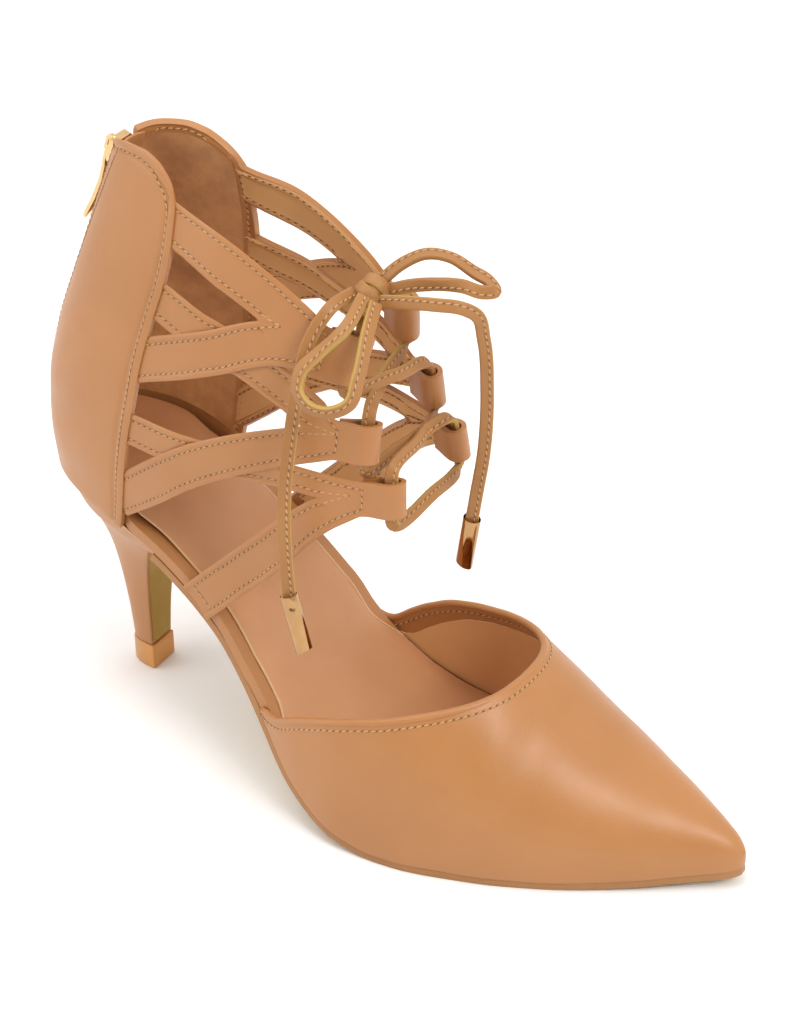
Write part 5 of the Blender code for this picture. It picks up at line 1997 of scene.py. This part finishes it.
# %% [markdown]
# The knot: the strip wraps twice round the place where bow and ends come together, over a small core. A
# real knot could be traced through all its turns, but most of them are hidden. So the wraps that show are
# the same flat profile swept round two tilted rings.

# %% Lace: knot
CORE_SIZE = np.array((6.27, 8.4, 5.94))
WRAP_POINTS = 40


def knot_wrap(name, radii, axis, shift, wide):
    """Flat strip round the knot: a ring square to an axis, moved along it by shift."""
    axis = unit(np.array(axis))
    level = unit(np.cross(axis, (0.0, 0.0, 1.0)))
    rise = np.cross(level, axis)
    turns = np.linspace(0, 2 * math.pi, WRAP_POINTS + 1)[:-1, None]
    outs = radii[0] * np.cos(turns) * level + radii[1] * np.sin(turns) * rise
    return sweep(name, outs + KNOT_AT + shift * axis, outs, lace_profile(wide), closed=True)


bpy.ops.mesh.primitive_uv_sphere_add(segments=24, ring_count=14, radius=0.5)
core = bpy.context.object
edit(core)
bpy.ops.transform.resize(value=tuple(CORE_SIZE * MM), center_override=(0, 0, 0))
bpy.ops.transform.translate(value=tuple(KNOT_AT * MM))
leave_edit()
wraps = [
    knot_wrap("knot_wrap_a", (3.5, 3.6), (0.39, 0.71, 0.59), -1.5, 3.2),
    knot_wrap("knot_wrap_b", (3.2, 3.3), (0.05, 0.9, 0.4), 1.4, 3.6),
]
knot = merge([core, *wraps], 0.001)
knot.name = "lace_knot_wrapped"
dress(knot, LACE_TAN, "leather_lace", "lace_knot", angle=60)

# %% [markdown]
# The aglets are polished tubes pressed over the lace ends. Each starts as a cylinder, is flattened a
# little, hollowed by an inset at its mouth, and cut a little slantwise at its tip by a bisect, as the real
# ones are. Near the mouth a small dimple shows where the metal was pressed into the lace: a few bisects
# make rows there, and the corners near the dimple's middle are pushed in. A swept tube would be quicker,
# but its ends would be blunt discs.

# %% Lace: aglets
AGLET_RADIUS, AGLET_FLAT, AGLET_LAP, AGLET_SOFT = 2.6, 0.86, 1.2, 0.18
TIP_CUT, TIP_SLANT = 0.8, (0.3, 0, 1)
MOUTH_WALL, MOUTH_DEEP = 0.45, 1.6
DIMPLE_FROM, DIMPLE_REACH, DIMPLE_DEEP, DIMPLE_ROWS = 3.2, 0.7, 0.4, 8
DIMPLE_WAY = np.array((0.6, 0.8, 0.0))


def aglet(name, start, tip):
    start, tip = np.array(start), np.array(tip)
    run = tip - start
    long = float(np.linalg.norm(run))
    bpy.ops.mesh.primitive_cylinder_add(vertices=64, radius=AGLET_RADIUS * MM, depth=long * MM)
    piece = bpy.context.object
    piece.name = name
    edit(piece)
    bpy.ops.transform.resize(value=(1.0, AGLET_FLAT, 1.0), center_override=(0, 0, 0))
    cut_at = (0, 0, (long / 2 - TIP_CUT) * MM)
    bpy.ops.mesh.bisect(plane_co=cut_at, plane_no=TIP_SLANT, use_fill=True, clear_outer=True)
    mouth = -long / 2
    for row in range(DIMPLE_ROWS + 1):
        height = mouth + DIMPLE_FROM + 2 * DIMPLE_REACH * (2 * row / DIMPLE_ROWS - 1)
        bpy.ops.mesh.select_all(action="SELECT")
        bpy.ops.mesh.bisect(plane_co=(0, 0, height * MM), plane_no=(0, 0, 1))
    leave_edit()
    heart = AGLET_RADIUS * DIMPLE_WAY * (1, AGLET_FLAT, 0) + (0, 0, mouth + DIMPLE_FROM)
    for corner in piece.data.vertices:
        far = np.linalg.norm(np.array(corner.co) / MM - heart) / DIMPLE_REACH
        corner.co -= Vector(DIMPLE_WAY) * DIMPLE_DEEP * math.exp(-far**2) * MM
    pick_faces(piece, lambda at, out: out[2] < -0.9)
    bpy.ops.mesh.inset(thickness=MOUTH_WALL * MM)
    bpy.ops.transform.translate(value=(0, 0, MOUTH_DEEP * MM))
    leave_edit()
    round_edges(piece, AGLET_SOFT, 40, 2)
    piece.rotation_mode = "QUATERNION"
    piece.rotation_quaternion = Vector(run).to_track_quat("Z", "X")
    piece.location = Vector((start + tip) / 2) * MM
    only(piece)
    bpy.ops.object.transform_apply(location=True, rotation=True, scale=True)
    return piece


aglets = {}
for name, tip in AGLET_TIPS.items():
    last = np.array(ENDS[name][-1])
    run = unit(np.array(tip) - last)
    node = name.replace("lace_end", "aglet")
    aglets[name] = aglet(f"{node}_gold", last - run * AGLET_LAP, tip)
    # the aglets' gold is darkened in part as painted shade
    dress(aglets[name], SHADED_ROSE_GOLD, "aglet_metal", node, angle=30)
